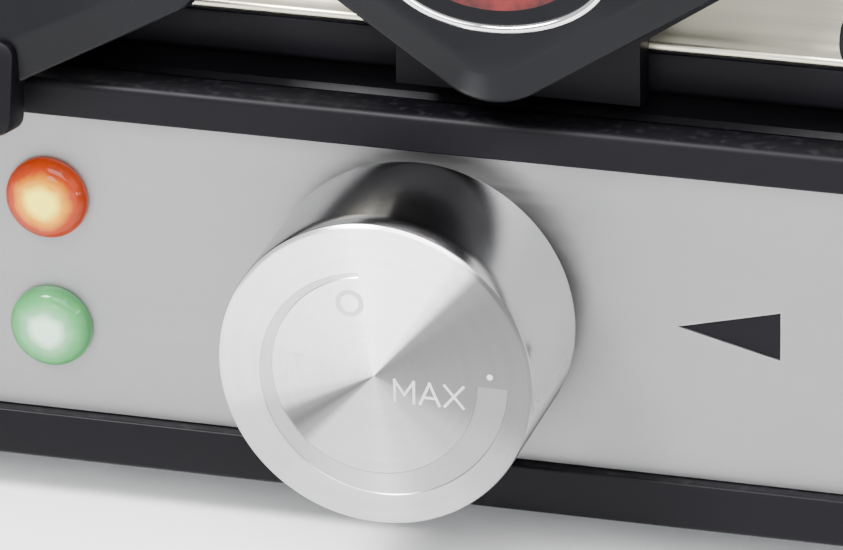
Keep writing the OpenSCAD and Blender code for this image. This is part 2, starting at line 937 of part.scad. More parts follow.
// Form of the lid cover, shrunk by g on every side: a low dome whose flanks flatten upwards.
module cover_form(g) {
    steps = [[0.6, 0], [1.4, 0], [12, 16], [17, 32], [cover_h, 44]];
    translate([0, lid_mid_y, cover_z])
        hull()
            for (s = steps)
                translate([0, 0, s[0] - 0.6 - g])
                    slab(lid_w - 2 * (s[1] + g), lid_d - 2 * (s[1] + g), 0.6, lid_r, $fn = soft_fn);
}

// Pressed steel cover.
module lid_cover() {
    color([0.80, 0.79, 0.74])
    difference() {
        cover_form(0);
        cover_form(sheet);
    }
}

// Posts between the upper reflector and the cover.
module lid_standoffs() {
    foot = upper_face + plate_t + tray_h;
    color([0.72, 0.72, 0.72])
    translate([0, plate_y, foot])
        at_corners(post_x, post_y)
            cylinder(r = 4, h = lid_top - sheet - foot);
}

// ---------- handle ----------

function arc(c, r, from, to, n) =
    [for (i = [0 : n]) let (a = from + (to - from) * i / n) c + r * [cos(a), sin(a)]];

// Front view of a shield: a wide V with a round point at the origin, shoulders, and a flat top.
module shield_outline(half_w, h, slope) {
    shoulder_r = 5;
    normal = [sin(slope), -cos(slope)];
    along = [cos(slope), sin(slope)];
    edge_start = [0, shield_tip_r] + shield_tip_r * normal - shoulder_r * normal;
    run = (half_w - shoulder_r - edge_start[0]) / along[0];
    shoulder = edge_start + run * along;
    top_r = min(7, h - shoulder[1] - 0.5);
    right = concat(
        arc([0, shield_tip_r], shield_tip_r, -90, slope - 90, 5),
        arc(shoulder, shoulder_r, slope - 90, 0, 5),
        arc([half_w - top_r, h - top_r], top_r, 0, 90, 6));
    left = [for (i = [len(right) - 1 : -1 : 1]) [-right[i][0], right[i][1]]];
    polygon(concat(right, left));
}

// Moves its children from a shield's own plane to its place: x across, y up the shield, z out.
module on_shield(x, tip_z) {
    translate([x, shield_front, tip_z])
        rotate([90 - shield_lean, 0, 0])
            children();
}

inlay_w = 34;
inlay_h = 20;
inlay_up = 20.2;                             // middle of the inlay above the point
ring_w = 1.3;                                // seen width of the ring

module handle_shield() {
    color([0.20, 0.21, 0.23])
    difference() {
        on_shield(handle_x, handle_tip_z)
            translate([0, 0, -handle_t])
                linear_extrude(handle_t)
                    shield_outline(shield_half_w, handle_h, handle_slope);
        on_shield(handle_x, handle_tip_z)
            translate([0, inlay_up, -3])
                oval(inlay_w + 0.2, inlay_h + 0.2, 5);
        handle_holes();
    }
}

// Holes for the two screws of the handle.
module handle_holes() {
    for (x = [-screw_x, screw_x])
        translate([handle_x + x, lid_front - 14, handle_tip_z + 10])
            rod_y(1.6, 14);
}

// Block that carries the shield: a plate in front of the lid frame that widens upwards, and a
// boss that reaches forward to the back of the shield.
module handle_mount() {
    plate_front = lid_front - 5;
    top = handle_tip_z + 16;
    flare_z = cover_z + 3;
    color([0.14, 0.14, 0.15])
    difference() {
        union() {
            translate([handle_x, lid_front, 0])
                rotate([90, 0, 0])
                    linear_extrude(lid_front - plate_front)
                        polygon([[-mount_half_w, frame_z], [mount_half_w, frame_z],
                                 [mount_half_w, flare_z], [mount_half_w + 12, flare_z + 8],
                                 [mount_half_w + 12, top], [-mount_half_w - 12, top],
                                 [-mount_half_w - 12, flare_z + 8], [-mount_half_w, flare_z]]);
            translate([handle_x - mount_half_w, plate_front, cover_z])
                cube([2 * mount_half_w, 26, top - cover_z]);
            translate([handle_x - 14, shield_front + 4, handle_tip_z + 6])
                cube([28, plate_front - shield_front - 3, top - handle_tip_z - 6]);
        }
        cover_form(0);
        on_shield(handle_x, handle_tip_z)
            translate([0, 0, -handle_t - 0.02])
                linear_extrude(30)
                    shield_outline(shield_half_w, handle_h, handle_slope);
        handle_holes();
    }
}

// Two screws through the mount into the back of the shield.
module handle_screws() {
    color([0.7, 0.7, 0.7])
    for (x = [-screw_x, screw_x])
        translate([handle_x + x, lid_front - 0.2, handle_tip_z + 10])
            rotate([90, 0, 0])
                cylinder(r = 1.5, h = 13);
}

// Extruded ellipse w wide and h high, t thick.
module oval(w, h, t) {
    linear_extrude(t)
        scale([w / h, 1])
            circle(h / 2);
}

// Chrome ring let into the shield.
module inlay_ring() {
    color([0.85, 0.85, 0.86])
    on_shield(handle_x, handle_tip_z)
        translate([0, inlay_up, -3])
            difference() {
                oval(inlay_w, inlay_h, 4);
                translate([0, 0, 1])
                    oval(inlay_w - 2 * ring_w, inlay_h - 2 * ring_w, 6);
            }
}

// Blank glossy stone in the ring.
module inlay() {
    color([0.35, 0.05, 0.04])
    on_shield(handle_x, handle_tip_z)
        translate([0, inlay_up, -2])
            oval(inlay_w - 2 * ring_w - 0.2, inlay_h - 2 * ring_w - 0.2, 2.8);
}

// ---------- latches ----------

// Shield with a strap down its front, and a knuckle behind it that turns on the pin.
module latch(x) {
    strap_proud = 1.5;
    strap_up = 8.5;
    strap_down = 5.4;
    color([0.20, 0.21, 0.23])
    difference() {
        union() {
            on_shield(x, latch_tip_z) {
                translate([0, 0, -latch_t])
                    linear_extrude(latch_t)
                        shield_outline(shield_half_w - 1, latch_h, latch_slope);
                translate([-tongue_half_w, -strap_down, 1 - latch_t])
                    cube([2 * tongue_half_w, strap_up + strap_down, latch_t - 1 + strap_proud]);
            }
            translate([x, latch_pin_y, latch_pin_z])
                rod_x(latch_knuckle_r, 2 * tongue_half_w);
            translate([x - tongue_half_w + 0.5, face_y - 3, latch_pin_z - 3])
                cube([2 * tongue_half_w - 1, 9, 6]);
        }
        translate([x, latch_pin_y, latch_pin_z])
            rod_x(latch_pin_r + fit_clear, 40);
    }
}

module latch_left() { latch(-latch_x); }
module latch_right() { latch(latch_x); }

// Ears on the front of the lid frame, two for each latch.
module latch_mounts() {
    middle = tongue_half_w + clear + latch_ear_w / 2;
    color([0.14, 0.14, 0.15])
    for (x = [-latch_x, latch_x], s = [-1, 1])
        translate([x + s * middle, 0, 0])
            difference() {
                union() {
                    translate([0, latch_pin_y, latch_pin_z])
                        rod_x(latch_knuckle_r, latch_ear_w);
                    translate([latch_ear_w / 2, 0, 0])
                        rotate([0, -90, 0])
                            linear_extrude(latch_ear_w)
                                polygon([[frame_z + 1, lid_front], [cover_z, lid_front],
                                         [latch_pin_z, latch_pin_y + 4.4],
                                         [latch_pin_z, latch_pin_y - 4.2],
                                         [frame_z + 1, lid_front - 5]]);
                }
                translate([0, latch_pin_y, latch_pin_z])
                    rod_x(latch_pin_r, 20);
            }
}

module latch_pins() {
    color([0.7, 0.7, 0.7])
    for (x = [-latch_x, latch_x])
        translate([x, latch_pin_y, latch_pin_z])
            rod_x(latch_pin_r, 2 * (tongue_half_w + clear + latch_ear_w));
}

base_tub();
base_rim();
bottom_plate();
bottom_screws();
feet();
foot_screws();
fascia();
pointer_insert();
amber_lens();
green_lens();
lamp_bodies();
lamp_clips();
knob_cap();
knob_core();
knob_clip();
spindle();
thermostat_bush();
thermostat_nut();
thermostat_body();
thermostat_leaves();
thermostat_plunger();
thermostat_terminals();
lower_plate();
lower_element();
lower_reflector();
reflector_posts();
lower_brackets();
terminal_block();
thermal_fuse();
base_wires();
earth_wire();
cord_gland();
cord_clamp();
hinge_brackets();
hinge_pins();
lid_ears();
lid_frame();
lid_cover();
upper_plate();
upper_element();
upper_reflector();
lid_standoffs();
upper_brackets();
lid_wires();
handle_mount();
handle_shield();
handle_screws();
inlay_ring();
inlay();
latch_mounts();
latch_pins();
latch_left();
latch_right();
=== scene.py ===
"""Looks of a table-top waffle iron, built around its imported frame.

Every shape is a surface worked out with numpy in millimetres and written in metres. Places and
sizes come from the frame's own nodes, so nothing here moves or resizes a part.
"""

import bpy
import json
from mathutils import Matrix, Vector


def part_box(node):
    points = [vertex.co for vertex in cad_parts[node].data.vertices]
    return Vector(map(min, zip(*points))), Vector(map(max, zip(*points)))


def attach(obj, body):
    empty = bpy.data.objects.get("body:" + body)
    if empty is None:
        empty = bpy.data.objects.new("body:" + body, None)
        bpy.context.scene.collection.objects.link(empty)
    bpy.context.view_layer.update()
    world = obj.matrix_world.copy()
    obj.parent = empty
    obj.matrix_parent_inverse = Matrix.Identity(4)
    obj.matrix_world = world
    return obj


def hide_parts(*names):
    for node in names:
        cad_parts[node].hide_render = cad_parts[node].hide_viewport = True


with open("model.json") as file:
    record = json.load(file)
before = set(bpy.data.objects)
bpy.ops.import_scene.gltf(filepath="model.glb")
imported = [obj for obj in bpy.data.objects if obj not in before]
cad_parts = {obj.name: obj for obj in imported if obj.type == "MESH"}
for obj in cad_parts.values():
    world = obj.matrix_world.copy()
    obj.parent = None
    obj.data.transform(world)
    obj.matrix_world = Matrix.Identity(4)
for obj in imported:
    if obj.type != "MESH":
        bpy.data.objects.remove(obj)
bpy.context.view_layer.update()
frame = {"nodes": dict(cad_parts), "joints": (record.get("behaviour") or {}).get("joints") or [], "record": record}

import json
import math

import bmesh
import bpy
import numpy as np
from bpy.props import FloatProperty, FloatVectorProperty, PointerProperty
from mathutils import Matrix, Vector

bl_info = {
    "name": "Waffle iron looks",
    "version": (1, 0, 0),
    "blender": (4, 5, 0),
    "location": "View3D > Sidebar > Waffle iron",
    "description": "Builds the visible surfaces and finishes of a table-top waffle iron",
    "category": "Object",
}

MM = 0.001
TAU = 2 * math.pi


# ---------------------------------------------------------------- places, from the frame

def place(node):
    """Lowest and highest corner of a node at rest, in millimetres."""
    return [np.array(corner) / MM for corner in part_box(node)]


FASCIA = place("fascia")
CAP = place("knob_cap")
TUB = place("base_tub")
RIM = place("base_rim")
LID_BAND = place("lid_frame")
COVER = place("lid_cover")
FACE_Y = FASCIA[0][1]
KNOB_X = (CAP[0][0] + CAP[1][0]) / 2
KNOB_Z = (CAP[0][2] + CAP[1][2]) / 2
HANDLE_X = sum(corner[0] for corner in place("handle_shield")) / 2
SCALE_R, SCALE_THIN, SCALE_GROWTH = 15.0, 0.6, 3.9
SCALE_START, SCALE_TURN = 98, 262
LEAN = 12.0                                    # degrees, of the shields
HANDLE_HEIGHT, HANDLE_THICK, HANDLE_SLOPE = 38.0, 9.0, 32.0
LATCH_HEIGHT, LATCH_THICK, LATCH_SLOPE, LATCH_DROP = 27.0, 6.0, 28.0, 6.3
TIP_R, SHOULDER_R, TOP_R = 11.5, 5.0, 7.0      # arcs of both kinds of shield
SHIELD_REACH = 10.0                            # from the fascia to a shield's point
STRAP_WIDE, STRAP_TALL = 14, 13.9
BASE_CORNER, LID_CORNER, OPENING_CORNER = 16, 12, 8
WALL = 4.6
LENS_GLOW_R = 6.6
MARK_SEAT = 0.055                              # foot of the etched strokes behind the cap's face
SOFT_SHARP = 32.0                              # degrees; steeper edges are rounded
SLOT_OF = {part["node"]: part["material_slot"] for part in frame["record"]["subparts"]}
BODY_OF = {n: b for b, ns in frame["record"]["behaviour"]["bodies"].items() for n in ns}


# ---------------------------------------------------------------- sizes and colours

def length(label, text, value):
    """A length in metres that the sidebar shows."""
    return FloatProperty(name=label, description=text, default=value, min=0.0, unit="LENGTH")


def tint(label, text, value):
    """A linear colour that the sidebar shows."""
    return FloatVectorProperty(name=label, description=text, default=value, size=3, min=0.0,
                               max=1.0, subtype="COLOR")


class WaffleSizes(bpy.types.PropertyGroup):
    """Small sizes that only the looks use."""
    edge: length("Edge round", "Rounding of the plastic mouldings' edges", 0.0007)
    sheet_edge: length("Sheet edge round", "Rounding of the steel cover's lower edge", 0.0004)
    engraving: length("Engraving", "Depth of the scale cut into the knob's face", 0.00014)
    peg_round: length("Peg round", "Rounding of the pegs of the baking plates", 0.0016)
    ring_wire: length("Ring wire", "Half the width of the ring around the inlay", 0.00065)


class WaffleColours(bpy.types.PropertyGroup):
    """Main colours, linear."""
    fascia: tint("Fascia", "Brushed steel of the control front", (0.25, 0.25, 0.252))
    knob: tint("Knob", "Turned aluminium", (0.80, 0.80, 0.81))
    cover: tint("Lid cover", "Warm brushed steel", (0.66, 0.63, 0.50))
    moulding: tint("Moulding", "Black phenolic", (0.0028, 0.0026, 0.0038))
    shield: tint("Shields", "Blue-grey black plastic of handle and latches", (0.0042, 0.0043, 0.0054))
    garnet: tint("Inlay", "Deep red stone-look plastic", (0.050, 0.0028, 0.0026))


# ---------------------------------------------------------------- shader groups

def socket_in(tree, label, kind, value=None):
    """Adds a named input to a group."""
    made = tree.interface.new_socket(label, in_out="INPUT", socket_type="NodeSocket" + kind)
    if value is not None:
        made.default_value = value


def socket_out(tree, label, kind):
    """Adds a named output to a group."""
    tree.interface.new_socket(label, in_out="OUTPUT", socket_type="NodeSocket" + kind)


def new_group(name):
    """An empty shader group with its input and output nodes."""
    tree = bpy.data.node_groups.new(name, "ShaderNodeTree")
    return tree, tree.nodes.new("NodeGroupInput"), tree.nodes.new("NodeGroupOutput")


def maths(tree, operation, a, b=None, clamp=False):
    """A Math node whose operands are sockets or numbers."""
    node = tree.nodes.new("ShaderNodeMath")
    node.operation = operation
    node.use_clamp = clamp
    for slot, value in zip(node.inputs, (a, b)):
        if value is None:
            continue
        if isinstance(value, (int, float)):
            slot.default_value = value
        else:
            tree.links.new(value, slot)
    return node.outputs[0]


def ramp(tree, value, low, high, to_low=0.0, to_high=1.0):
    """Smooth step of a value from one range to another."""
    node = tree.nodes.new("ShaderNodeMapRange")
    node.interpolation_type = "SMOOTHSTEP"
    tree.links.new(value, node.inputs["Value"])
    for label, number in (("From Min", low), ("From Max", high), ("To Min", to_low), ("To Max", to_high)):
        if isinstance(number, (int, float)):
            node.inputs[label].default_value = number
        else:
            tree.links.new(number, node.inputs[label])
    return node.outputs["Result"]


def noise(tree, vector, scale, detail=3.0, rough=0.55):
    """A noise texture's value."""
    node = tree.nodes.new("ShaderNodeTexNoise")
    tree.links.new(vector, node.inputs["Vector"])
    if isinstance(scale, (int, float)):
        node.inputs["Scale"].default_value = scale
    else:
        tree.links.new(scale, node.inputs["Scale"])
    node.inputs["Detail"].default_value = detail
    node.inputs["Roughness"].default_value = rough
    return node.outputs["Fac"]


def build_brushed():
    """Hairlines: noise squeezed along one direction, in a fine and a broad layer."""
    tree, given, out = new_group("Brushed lines")
    socket_in(tree, "Vector", "Vector")
    socket_out(tree, "Tone", "Float")
    socket_out(tree, "Height", "Float")
    fine = noise(tree, given.outputs["Vector"], 1.0, 4.0, 0.65)
    broad = noise(tree, given.outputs["Vector"], 0.13, 2.0)
    both = maths(tree, "ADD", maths(tree, "MULTIPLY", fine, 0.62), maths(tree, "MULTIPLY", broad, 0.38))
    tree.links.new(both, out.inputs["Tone"])
    tree.links.new(fine, out.inputs["Height"])
    return tree


def build_grain():
    """Moulded skin: fine noise pits with a slow unevenness below them."""
    tree, given, out = new_group("Moulded grain")
    socket_in(tree, "Vector", "Vector")
    socket_in(tree, "Scale", "Float", 900.0)
    socket_out(tree, "Height", "Float")
    socket_out(tree, "Patch", "Float")
    pits = noise(tree, given.outputs["Vector"], given.outputs["Scale"], 2.0, 0.6)
    slow = noise(tree, given.outputs["Vector"], 24.0, 3.0)
    tree.links.new(pits, out.inputs["Height"])
    tree.links.new(ramp(tree, slow, 0.35, 0.68), out.inputs["Patch"])
    return tree


def build_wear():
    """Mask of the convex edges: where a rounded normal leaves the true one, broken up by noise."""
    tree, given, out = new_group("Edge wear")
    socket_in(tree, "Vector", "Vector")
    socket_in(tree, "Radius", "Float", 0.0008)
    socket_out(tree, "Mask", "Float")
    bevel = tree.nodes.new("ShaderNodeBevel")
    bevel.samples = 4
    tree.links.new(given.outputs["Radius"], bevel.inputs["Radius"])
    geometry = tree.nodes.new("ShaderNodeNewGeometry")
    dot = tree.nodes.new("ShaderNodeVectorMath")
    dot.operation = "DOT_PRODUCT"
    tree.links.new(bevel.outputs["Normal"], dot.inputs[0])
    tree.links.new(geometry.outputs["Normal"], dot.inputs[1])
    edge = ramp(tree, dot.outputs["Value"], 0.995, 0.90)
    broken = ramp(tree, noise(tree, given.outputs["Vector"], 300.0, 3.0), 0.38, 0.62)
    tree.links.new(maths(tree, "MULTIPLY", edge, broken), out.inputs["Mask"])
    return tree


def build_touch():
    """Handling marks: soft patches of fingers and a light dust on what faces upwards."""
    tree, given, out = new_group("Handling and dust")
    socket_in(tree, "Vector", "Vector")
    socket_out(tree, "Smudge", "Float")
    socket_out(tree, "Dust", "Float")
    smudge = ramp(tree, noise(tree, given.outputs["Vector"], 38.0, 4.0, 0.6), 0.48, 0.66)
    geometry = tree.nodes.new("ShaderNodeNewGeometry")
    split = tree.nodes.new("ShaderNodeSeparateXYZ")
    tree.links.new(geometry.outputs["Normal"], split.inputs[0])
    upward = ramp(tree, split.outputs["Z"], 0.55, 0.98)
    speck = ramp(tree, noise(tree, given.outputs["Vector"], 700.0, 2.0), 0.50, 0.72)
    tree.links.new(smudge, out.inputs["Smudge"])
    tree.links.new(maths(tree, "MULTIPLY", upward, speck), out.inputs["Dust"])
    return tree


GROUPS = {}


def group_node(tree, name, **values):
    """Places a shared group in a material; sockets are linked and numbers set."""
    makers = {"Brushed lines": build_brushed, "Moulded grain": build_grain,
              "Edge wear": build_wear, "Handling and dust": build_touch}
    if name not in GROUPS:
        GROUPS[name] = makers[name]()
    node = tree.nodes.new("ShaderNodeGroup")
    node.node_tree = GROUPS[name]
    for label, value in values.items():
        if isinstance(value, (int, float)):
            node.inputs[label].default_value = value
        else:
            tree.links.new(value, node.inputs[label])
    return node


class Finish:
    """A material being put together: its tree, its Principled shader and object coordinates."""

    def __init__(self, name, metallic=0.0, roughness=0.5, **constants):
        self.material = bpy.data.materials.new(name)
        self.material.use_nodes = True
        self.tree = self.material.node_tree
        self.shader = self.tree.nodes["Principled BSDF"]
        self.shader.inputs["Metallic"].default_value = metallic
        self.shader.inputs["Roughness"].default_value = roughness
        for label, value in constants.items():
            self.shader.inputs[label.replace("_", " ")].default_value = value
        self.object = self.tree.nodes.new("ShaderNodeTexCoord").outputs["Object"]

    def stretched(self, scale, at=(0.0, 0.0, 0.0)):
        """Object coordinates counted from a point and multiplied by a scale on each axis."""
        node = self.tree.nodes.new("ShaderNodeMapping")
        node.inputs["Location"].default_value = tuple(-a * s for a, s in zip(at, scale))
        node.inputs["Scale"].default_value = scale
        self.tree.links.new(self.object, node.inputs["Vector"])
        return node.outputs["Vector"]

    def mix(self, mask, low, high):
        """Colour that goes from low to high with the mask."""
        node = self.tree.nodes.new("ShaderNodeMix")
        node.data_type = "RGBA"
        self.tree.links.new(mask, node.inputs["Factor"])
        for label, value in (("A", low), ("B", high)):
            slot = [s for s in node.inputs if s.name == label and s.type == "RGBA"][0]
            if isinstance(value, (tuple, list)):
                slot.default_value = (*value[:3], 1.0)
            else:
                self.tree.links.new(value, slot)
        return [s for s in node.outputs if s.type == "RGBA"][0]

    def feed(self, label, value):
        """Links a value to one of the shader's inputs."""
        self.tree.links.new(value, self.shader.inputs[label])

    def bump(self, height, strength, distance):
        """Bump from a height, on the Normal input."""
        node = self.tree.nodes.new("ShaderNodeBump")
        node.inputs["Strength"].default_value = strength
        node.inputs["Distance"].default_value = distance
        self.tree.links.new(height, node.inputs["Height"])
        if self.shader.inputs["Normal"].is_linked:
            before = self.shader.inputs["Normal"].links[0].from_socket
            self.tree.links.new(before, node.inputs["Normal"])
        self.feed("Normal", node.outputs["Normal"])


def shade(colour, amount):
    """A colour made lighter or darker."""
    return tuple(min(1.0, c * amount) for c in colour)


def brushed_metal(name, colour, scale, rough=(0.26, 0.40), lines=0.18):
    """Sheet brushed in one direction, with fingermarks and bright edges."""
    made = Finish(name, metallic=1.0)
    tree = made.tree
    hair = group_node(tree, "Brushed lines", Vector=made.stretched(scale))
    touch = group_node(tree, "Handling and dust", Vector=made.object)
    wear = group_node(tree, "Edge wear", Vector=made.object, Radius=0.0006)
    tone = ramp(tree, hair.outputs["Tone"], 0.30, 0.70)
    base = made.mix(tone, shade(colour, 1 - lines), shade(colour, 1 + lines * 0.7))
    base = made.mix(wear.outputs["Mask"], base, shade(colour, 1.35))
    made.feed("Base Color", base)
    smudge_and_scale_tone = maths(tree, "MULTIPLY", touch.outputs["Smudge"], 0.06)
    made.feed("Roughness", maths(tree, "ADD", ramp(tree, hair.outputs["Tone"], 0.25, 0.75, *rough), smudge_and_scale_tone))
    made.bump(hair.outputs["Height"], 0.16, 0.00006)
    return made.material


def moulded(name, colour, rough=(0.43, 0.49), scale=900.0, bump=0.22, light=2.4, level=0.10):
    """Moulded plastic: pitted skin, uneven gloss, rubbed edges and a little dust."""
    made = Finish(name, Specular_IOR_Level=level)
    tree = made.tree
    skin = group_node(tree, "Moulded grain", Vector=made.object, Scale=scale)
    wear = group_node(tree, "Edge wear", Vector=made.object, Radius=0.0009)
    touch = group_node(tree, "Handling and dust", Vector=made.object)
    base = made.mix(skin.outputs["Patch"], shade(colour, 0.86), shade(colour, 1.12))
    base = made.mix(maths(tree, "MULTIPLY", wear.outputs["Mask"], 0.55), base, shade(colour, light))
    dusty = tuple(c * 0.8 + 0.03 for c in colour)
    base = made.mix(maths(tree, "MULTIPLY", touch.outputs["Dust"], 0.22), base, dusty)
    made.feed("Base Color", base)
    gloss = ramp(tree, skin.outputs["Patch"], 0.0, 1.0, *rough)
    smudge_and_scale_tone = maths(tree, "MULTIPLY", touch.outputs["Smudge"], 0.03)
    made.feed("Roughness", maths(tree, "SUBTRACT", gloss, smudge_and_scale_tone))
    made.bump(skin.outputs["Height"], bump, 0.00008)
    return made.material


def plain_metal(name, colour, rough=(0.28, 0.42), scale=160.0):
    """Machined or plated metal with faint mottling and bright edges."""
    made = Finish(name, metallic=1.0)
    tree = made.tree
    skin = group_node(tree, "Moulded grain", Vector=made.object, Scale=scale)
    wear = group_node(tree, "Edge wear", Vector=made.object, Radius=0.0004)
    mottle = ramp(tree, skin.outputs["Height"], 0.35, 0.65)
    base = made.mix(mottle, shade(colour, 0.88), shade(colour, 1.08))
    made.feed("Base Color", made.mix(wear.outputs["Mask"], base, shade(colour, 1.3)))
    made.feed("Roughness", ramp(tree, skin.outputs["Patch"], 0.0, 1.0, *rough))
    made.bump(skin.outputs["Height"], 0.10, 0.00005)
    return made.material


def turned_metal(name, colour):
    """Lathe-turned aluminium: fine rings about the knob's axis, with a painted highlight and painted
    shade: bright and grey wedges of the face's colour, drawn from the angle about that axis."""
    made = Finish(name, metallic=1.0, Anisotropic=0.85, Anisotropic_Rotation=0.25)
    tree = made.tree
    centre = (KNOB_X * MM, 0.0, KNOB_Z * MM)
    local = made.stretched((1.0, 1.0, 1.0), at=centre)
    split = tree.nodes.new("ShaderNodeSeparateXYZ")
    tree.links.new(local, split.inputs[0])
    across, along, up = split.outputs
    radius = maths(tree, "SQRT", maths(tree, "ADD", maths(tree, "MULTIPLY", across, across),
                                      maths(tree, "MULTIPLY", up, up)))
    rings = tree.nodes.new("ShaderNodeCombineXYZ")
    tree.links.new(maths(tree, "MULTIPLY", radius, 5200.0), rings.inputs["X"])
    tree.links.new(maths(tree, "MULTIPLY", along, 5200.0), rings.inputs["Y"])
    hair = group_node(tree, "Brushed lines", Vector=rings.outputs[0])
    angle = maths(tree, "ARCTAN2", up, across)
    # Painted highlight and painted shade by the angle about the axis: brightest at the top, dark on the right and
    # in a narrow wedge at the lower left, mid tones elsewhere.
    painted_light_ramp = tree.nodes.new("ShaderNodeValToRGB")
    painted_light_ramp.color_ramp.interpolation = "EASE"
    painted_stops = [(-180, 0.64), (-168, 0.60), (-158, 0.44), (-150, 0.14), (-144, 0.10), (-137, 0.18),
                (-128, 0.44), (-92, 0.44), (-60, 0.40), (-38, 0.30), (-10, 0.16), (36, 0.13),
                (46, 0.16), (53, 0.74), (59, 1.0), (96, 1.0), (106, 0.92), (125, 0.85),
                (150, 0.74), (180, 0.64)]
    stops = [((degrees + 180) / 360, value) for degrees, value in painted_stops]
    for position, value in stops[1:-1]:
        painted_light_ramp.color_ramp.elements.new(position)
    for element, (position, value) in zip(painted_light_ramp.color_ramp.elements, stops):
        element.position = position
        element.color = (value, value, value, 1.0)
    tree.links.new(ramp_linear(tree, angle, -math.pi, math.pi), painted_light_ramp.inputs["Fac"])
    past_start = maths(tree, "ADD", angle, TAU - math.radians(SCALE_START))
    share = ramp_linear(tree, maths(tree, "MODULO", past_start, TAU), 0.0, math.radians(SCALE_TURN))
    growth = maths(tree, "MULTIPLY", share, SCALE_GROWTH * MM)
    outer = maths(tree, "ADD", growth, (SCALE_R + SCALE_THIN) * MM)
    band = maths(tree, "MULTIPLY", maths(tree, "GREATER_THAN", radius, SCALE_R * MM),
                 maths(tree, "LESS_THAN", radius, outer))
    mark = maths(tree, "MULTIPLY", band, maths(tree, "LESS_THAN", share, 0.9999))
    # Part of the painted shade: on the left half, outside the scale's radius, the painted tone is lifted to at
    # least 0.42.
    left_half = maths(tree, "LESS_THAN", across, 0.0)
    beyond = maths(tree, "MULTIPLY", ramp(tree, radius, 0.0144, 0.0154, 0.0, 0.42), left_half)
    sector = maths(tree, "MAXIMUM", painted_light_ramp.outputs["Color"], beyond)
    # Inside the engraved scale the painted light and shade are kept, flattened to 0.55 of them plus 0.16.
    smudge_and_scale_tone = maths(tree, "ADD", maths(tree, "MULTIPLY", sector, 0.55), 0.16)
    tone = maths(tree, "ADD", maths(tree, "MULTIPLY", sector, maths(tree, "SUBTRACT", 1.0, mark)),
                 maths(tree, "MULTIPLY", smudge_and_scale_tone, mark))
    lines = ramp(tree, hair.outputs["Tone"], 0.28, 0.72, 0.93, 1.05)
    # The painted light and shade, with the rings, become the base colour here.
    tinted = made.mix(maths(tree, "MULTIPLY", tone, lines, clamp=True), (0.0, 0.0, 0.0), shade(colour, 1.2))
    made.feed("Base Color", tinted)
    gloss = ramp(tree, hair.outputs["Tone"], 0.25, 0.75, 0.27, 0.37)
    made.feed("Roughness", maths(tree, "ADD", gloss, maths(tree, "MULTIPLY", mark, 0.14)))
    made.bump(hair.outputs["Height"], 0.16, 0.00004)
    tangent = tree.nodes.new("ShaderNodeTangent")
    tangent.direction_type = "RADIAL"
    tangent.axis = "Y"
    tree.links.new(tangent.outputs[0], made.shader.inputs["Tangent"])
    return made.material


def turned_side(name, colour):
    """Wall of the turned cap: fine rings along its length, a soft gloss, a painted shade that makes
    the lower right of the wall dull and dark, and a painted dark reflection over its top and upper left."""
    made = Finish(name, metallic=1.0, Specular_IOR_Level=0.1)
    tree = made.tree
    split = tree.nodes.new("ShaderNodeSeparateXYZ")
    tree.links.new(made.stretched((1.0, 1.0, 1.0), at=(KNOB_X * MM, 0.0, KNOB_Z * MM)), split.inputs[0])
    across, along, up = split.outputs
    rings = tree.nodes.new("ShaderNodeCombineXYZ")
    tree.links.new(maths(tree, "MULTIPLY", along, 4200.0), rings.inputs["Y"])
    hair = group_node(tree, "Brushed lines", Vector=rings.outputs[0])
    touch = group_node(tree, "Handling and dust", Vector=made.object)
    angle = maths(tree, "ARCTAN2", up, across)
    # Painted shade: from -2 to -66 degrees about the axis, fullest from -27 to -54, the lower right of the wall
    # turns dark, standing in for the shadow beside the knob that the wall reflects.
    grey = maths(tree, "MULTIPLY", ramp(tree, angle, math.radians(-2), math.radians(-27)),
                 ramp(tree, angle, math.radians(-66), math.radians(-54)))
    lines = ramp(tree, hair.outputs["Tone"], 0.25, 0.75, 0.92, 1.04)
    # Painted dark reflection: past 60 to 74 degrees the wall's colour falls to 0.52, over its top and upper left.
    painted_top_reflection = ramp(tree, angle, math.radians(60), math.radians(74), 1.0, 0.52)
    base = made.mix(maths(tree, "MULTIPLY", lines, painted_top_reflection), (0.0, 0.0, 0.0), shade(colour, 1.15))
    # Where the painted shade lies the colour goes dark, the metal gives way to a dull dielectric and the gloss
    # roughens.
    made.feed("Base Color", made.mix(grey, base, shade(colour, 0.05)))
    made.feed("Metallic", maths(tree, "SUBTRACT", 1.0, maths(tree, "MULTIPLY", grey, 0.9)))
    gloss = ramp(tree, hair.outputs["Tone"], 0.25, 0.75, 0.16, 0.23)
    gloss = maths(tree, "ADD", gloss, maths(tree, "MULTIPLY", grey, 0.35))
    made.feed("Roughness", maths(tree, "ADD", gloss, maths(tree, "MULTIPLY", touch.outputs["Smudge"], 0.05)))
    made.bump(hair.outputs["Height"], 0.08, 0.00003)
    return made.material


def ramp_linear(tree, value, low, high):
    """Straight map of a value from low..high to 0..1."""
    node = tree.nodes.new("ShaderNodeMapRange")
    tree.links.new(value, node.inputs["Value"])
    node.inputs["From Min"].default_value = low
    node.inputs["From Max"].default_value = high
    return node.outputs["Result"]


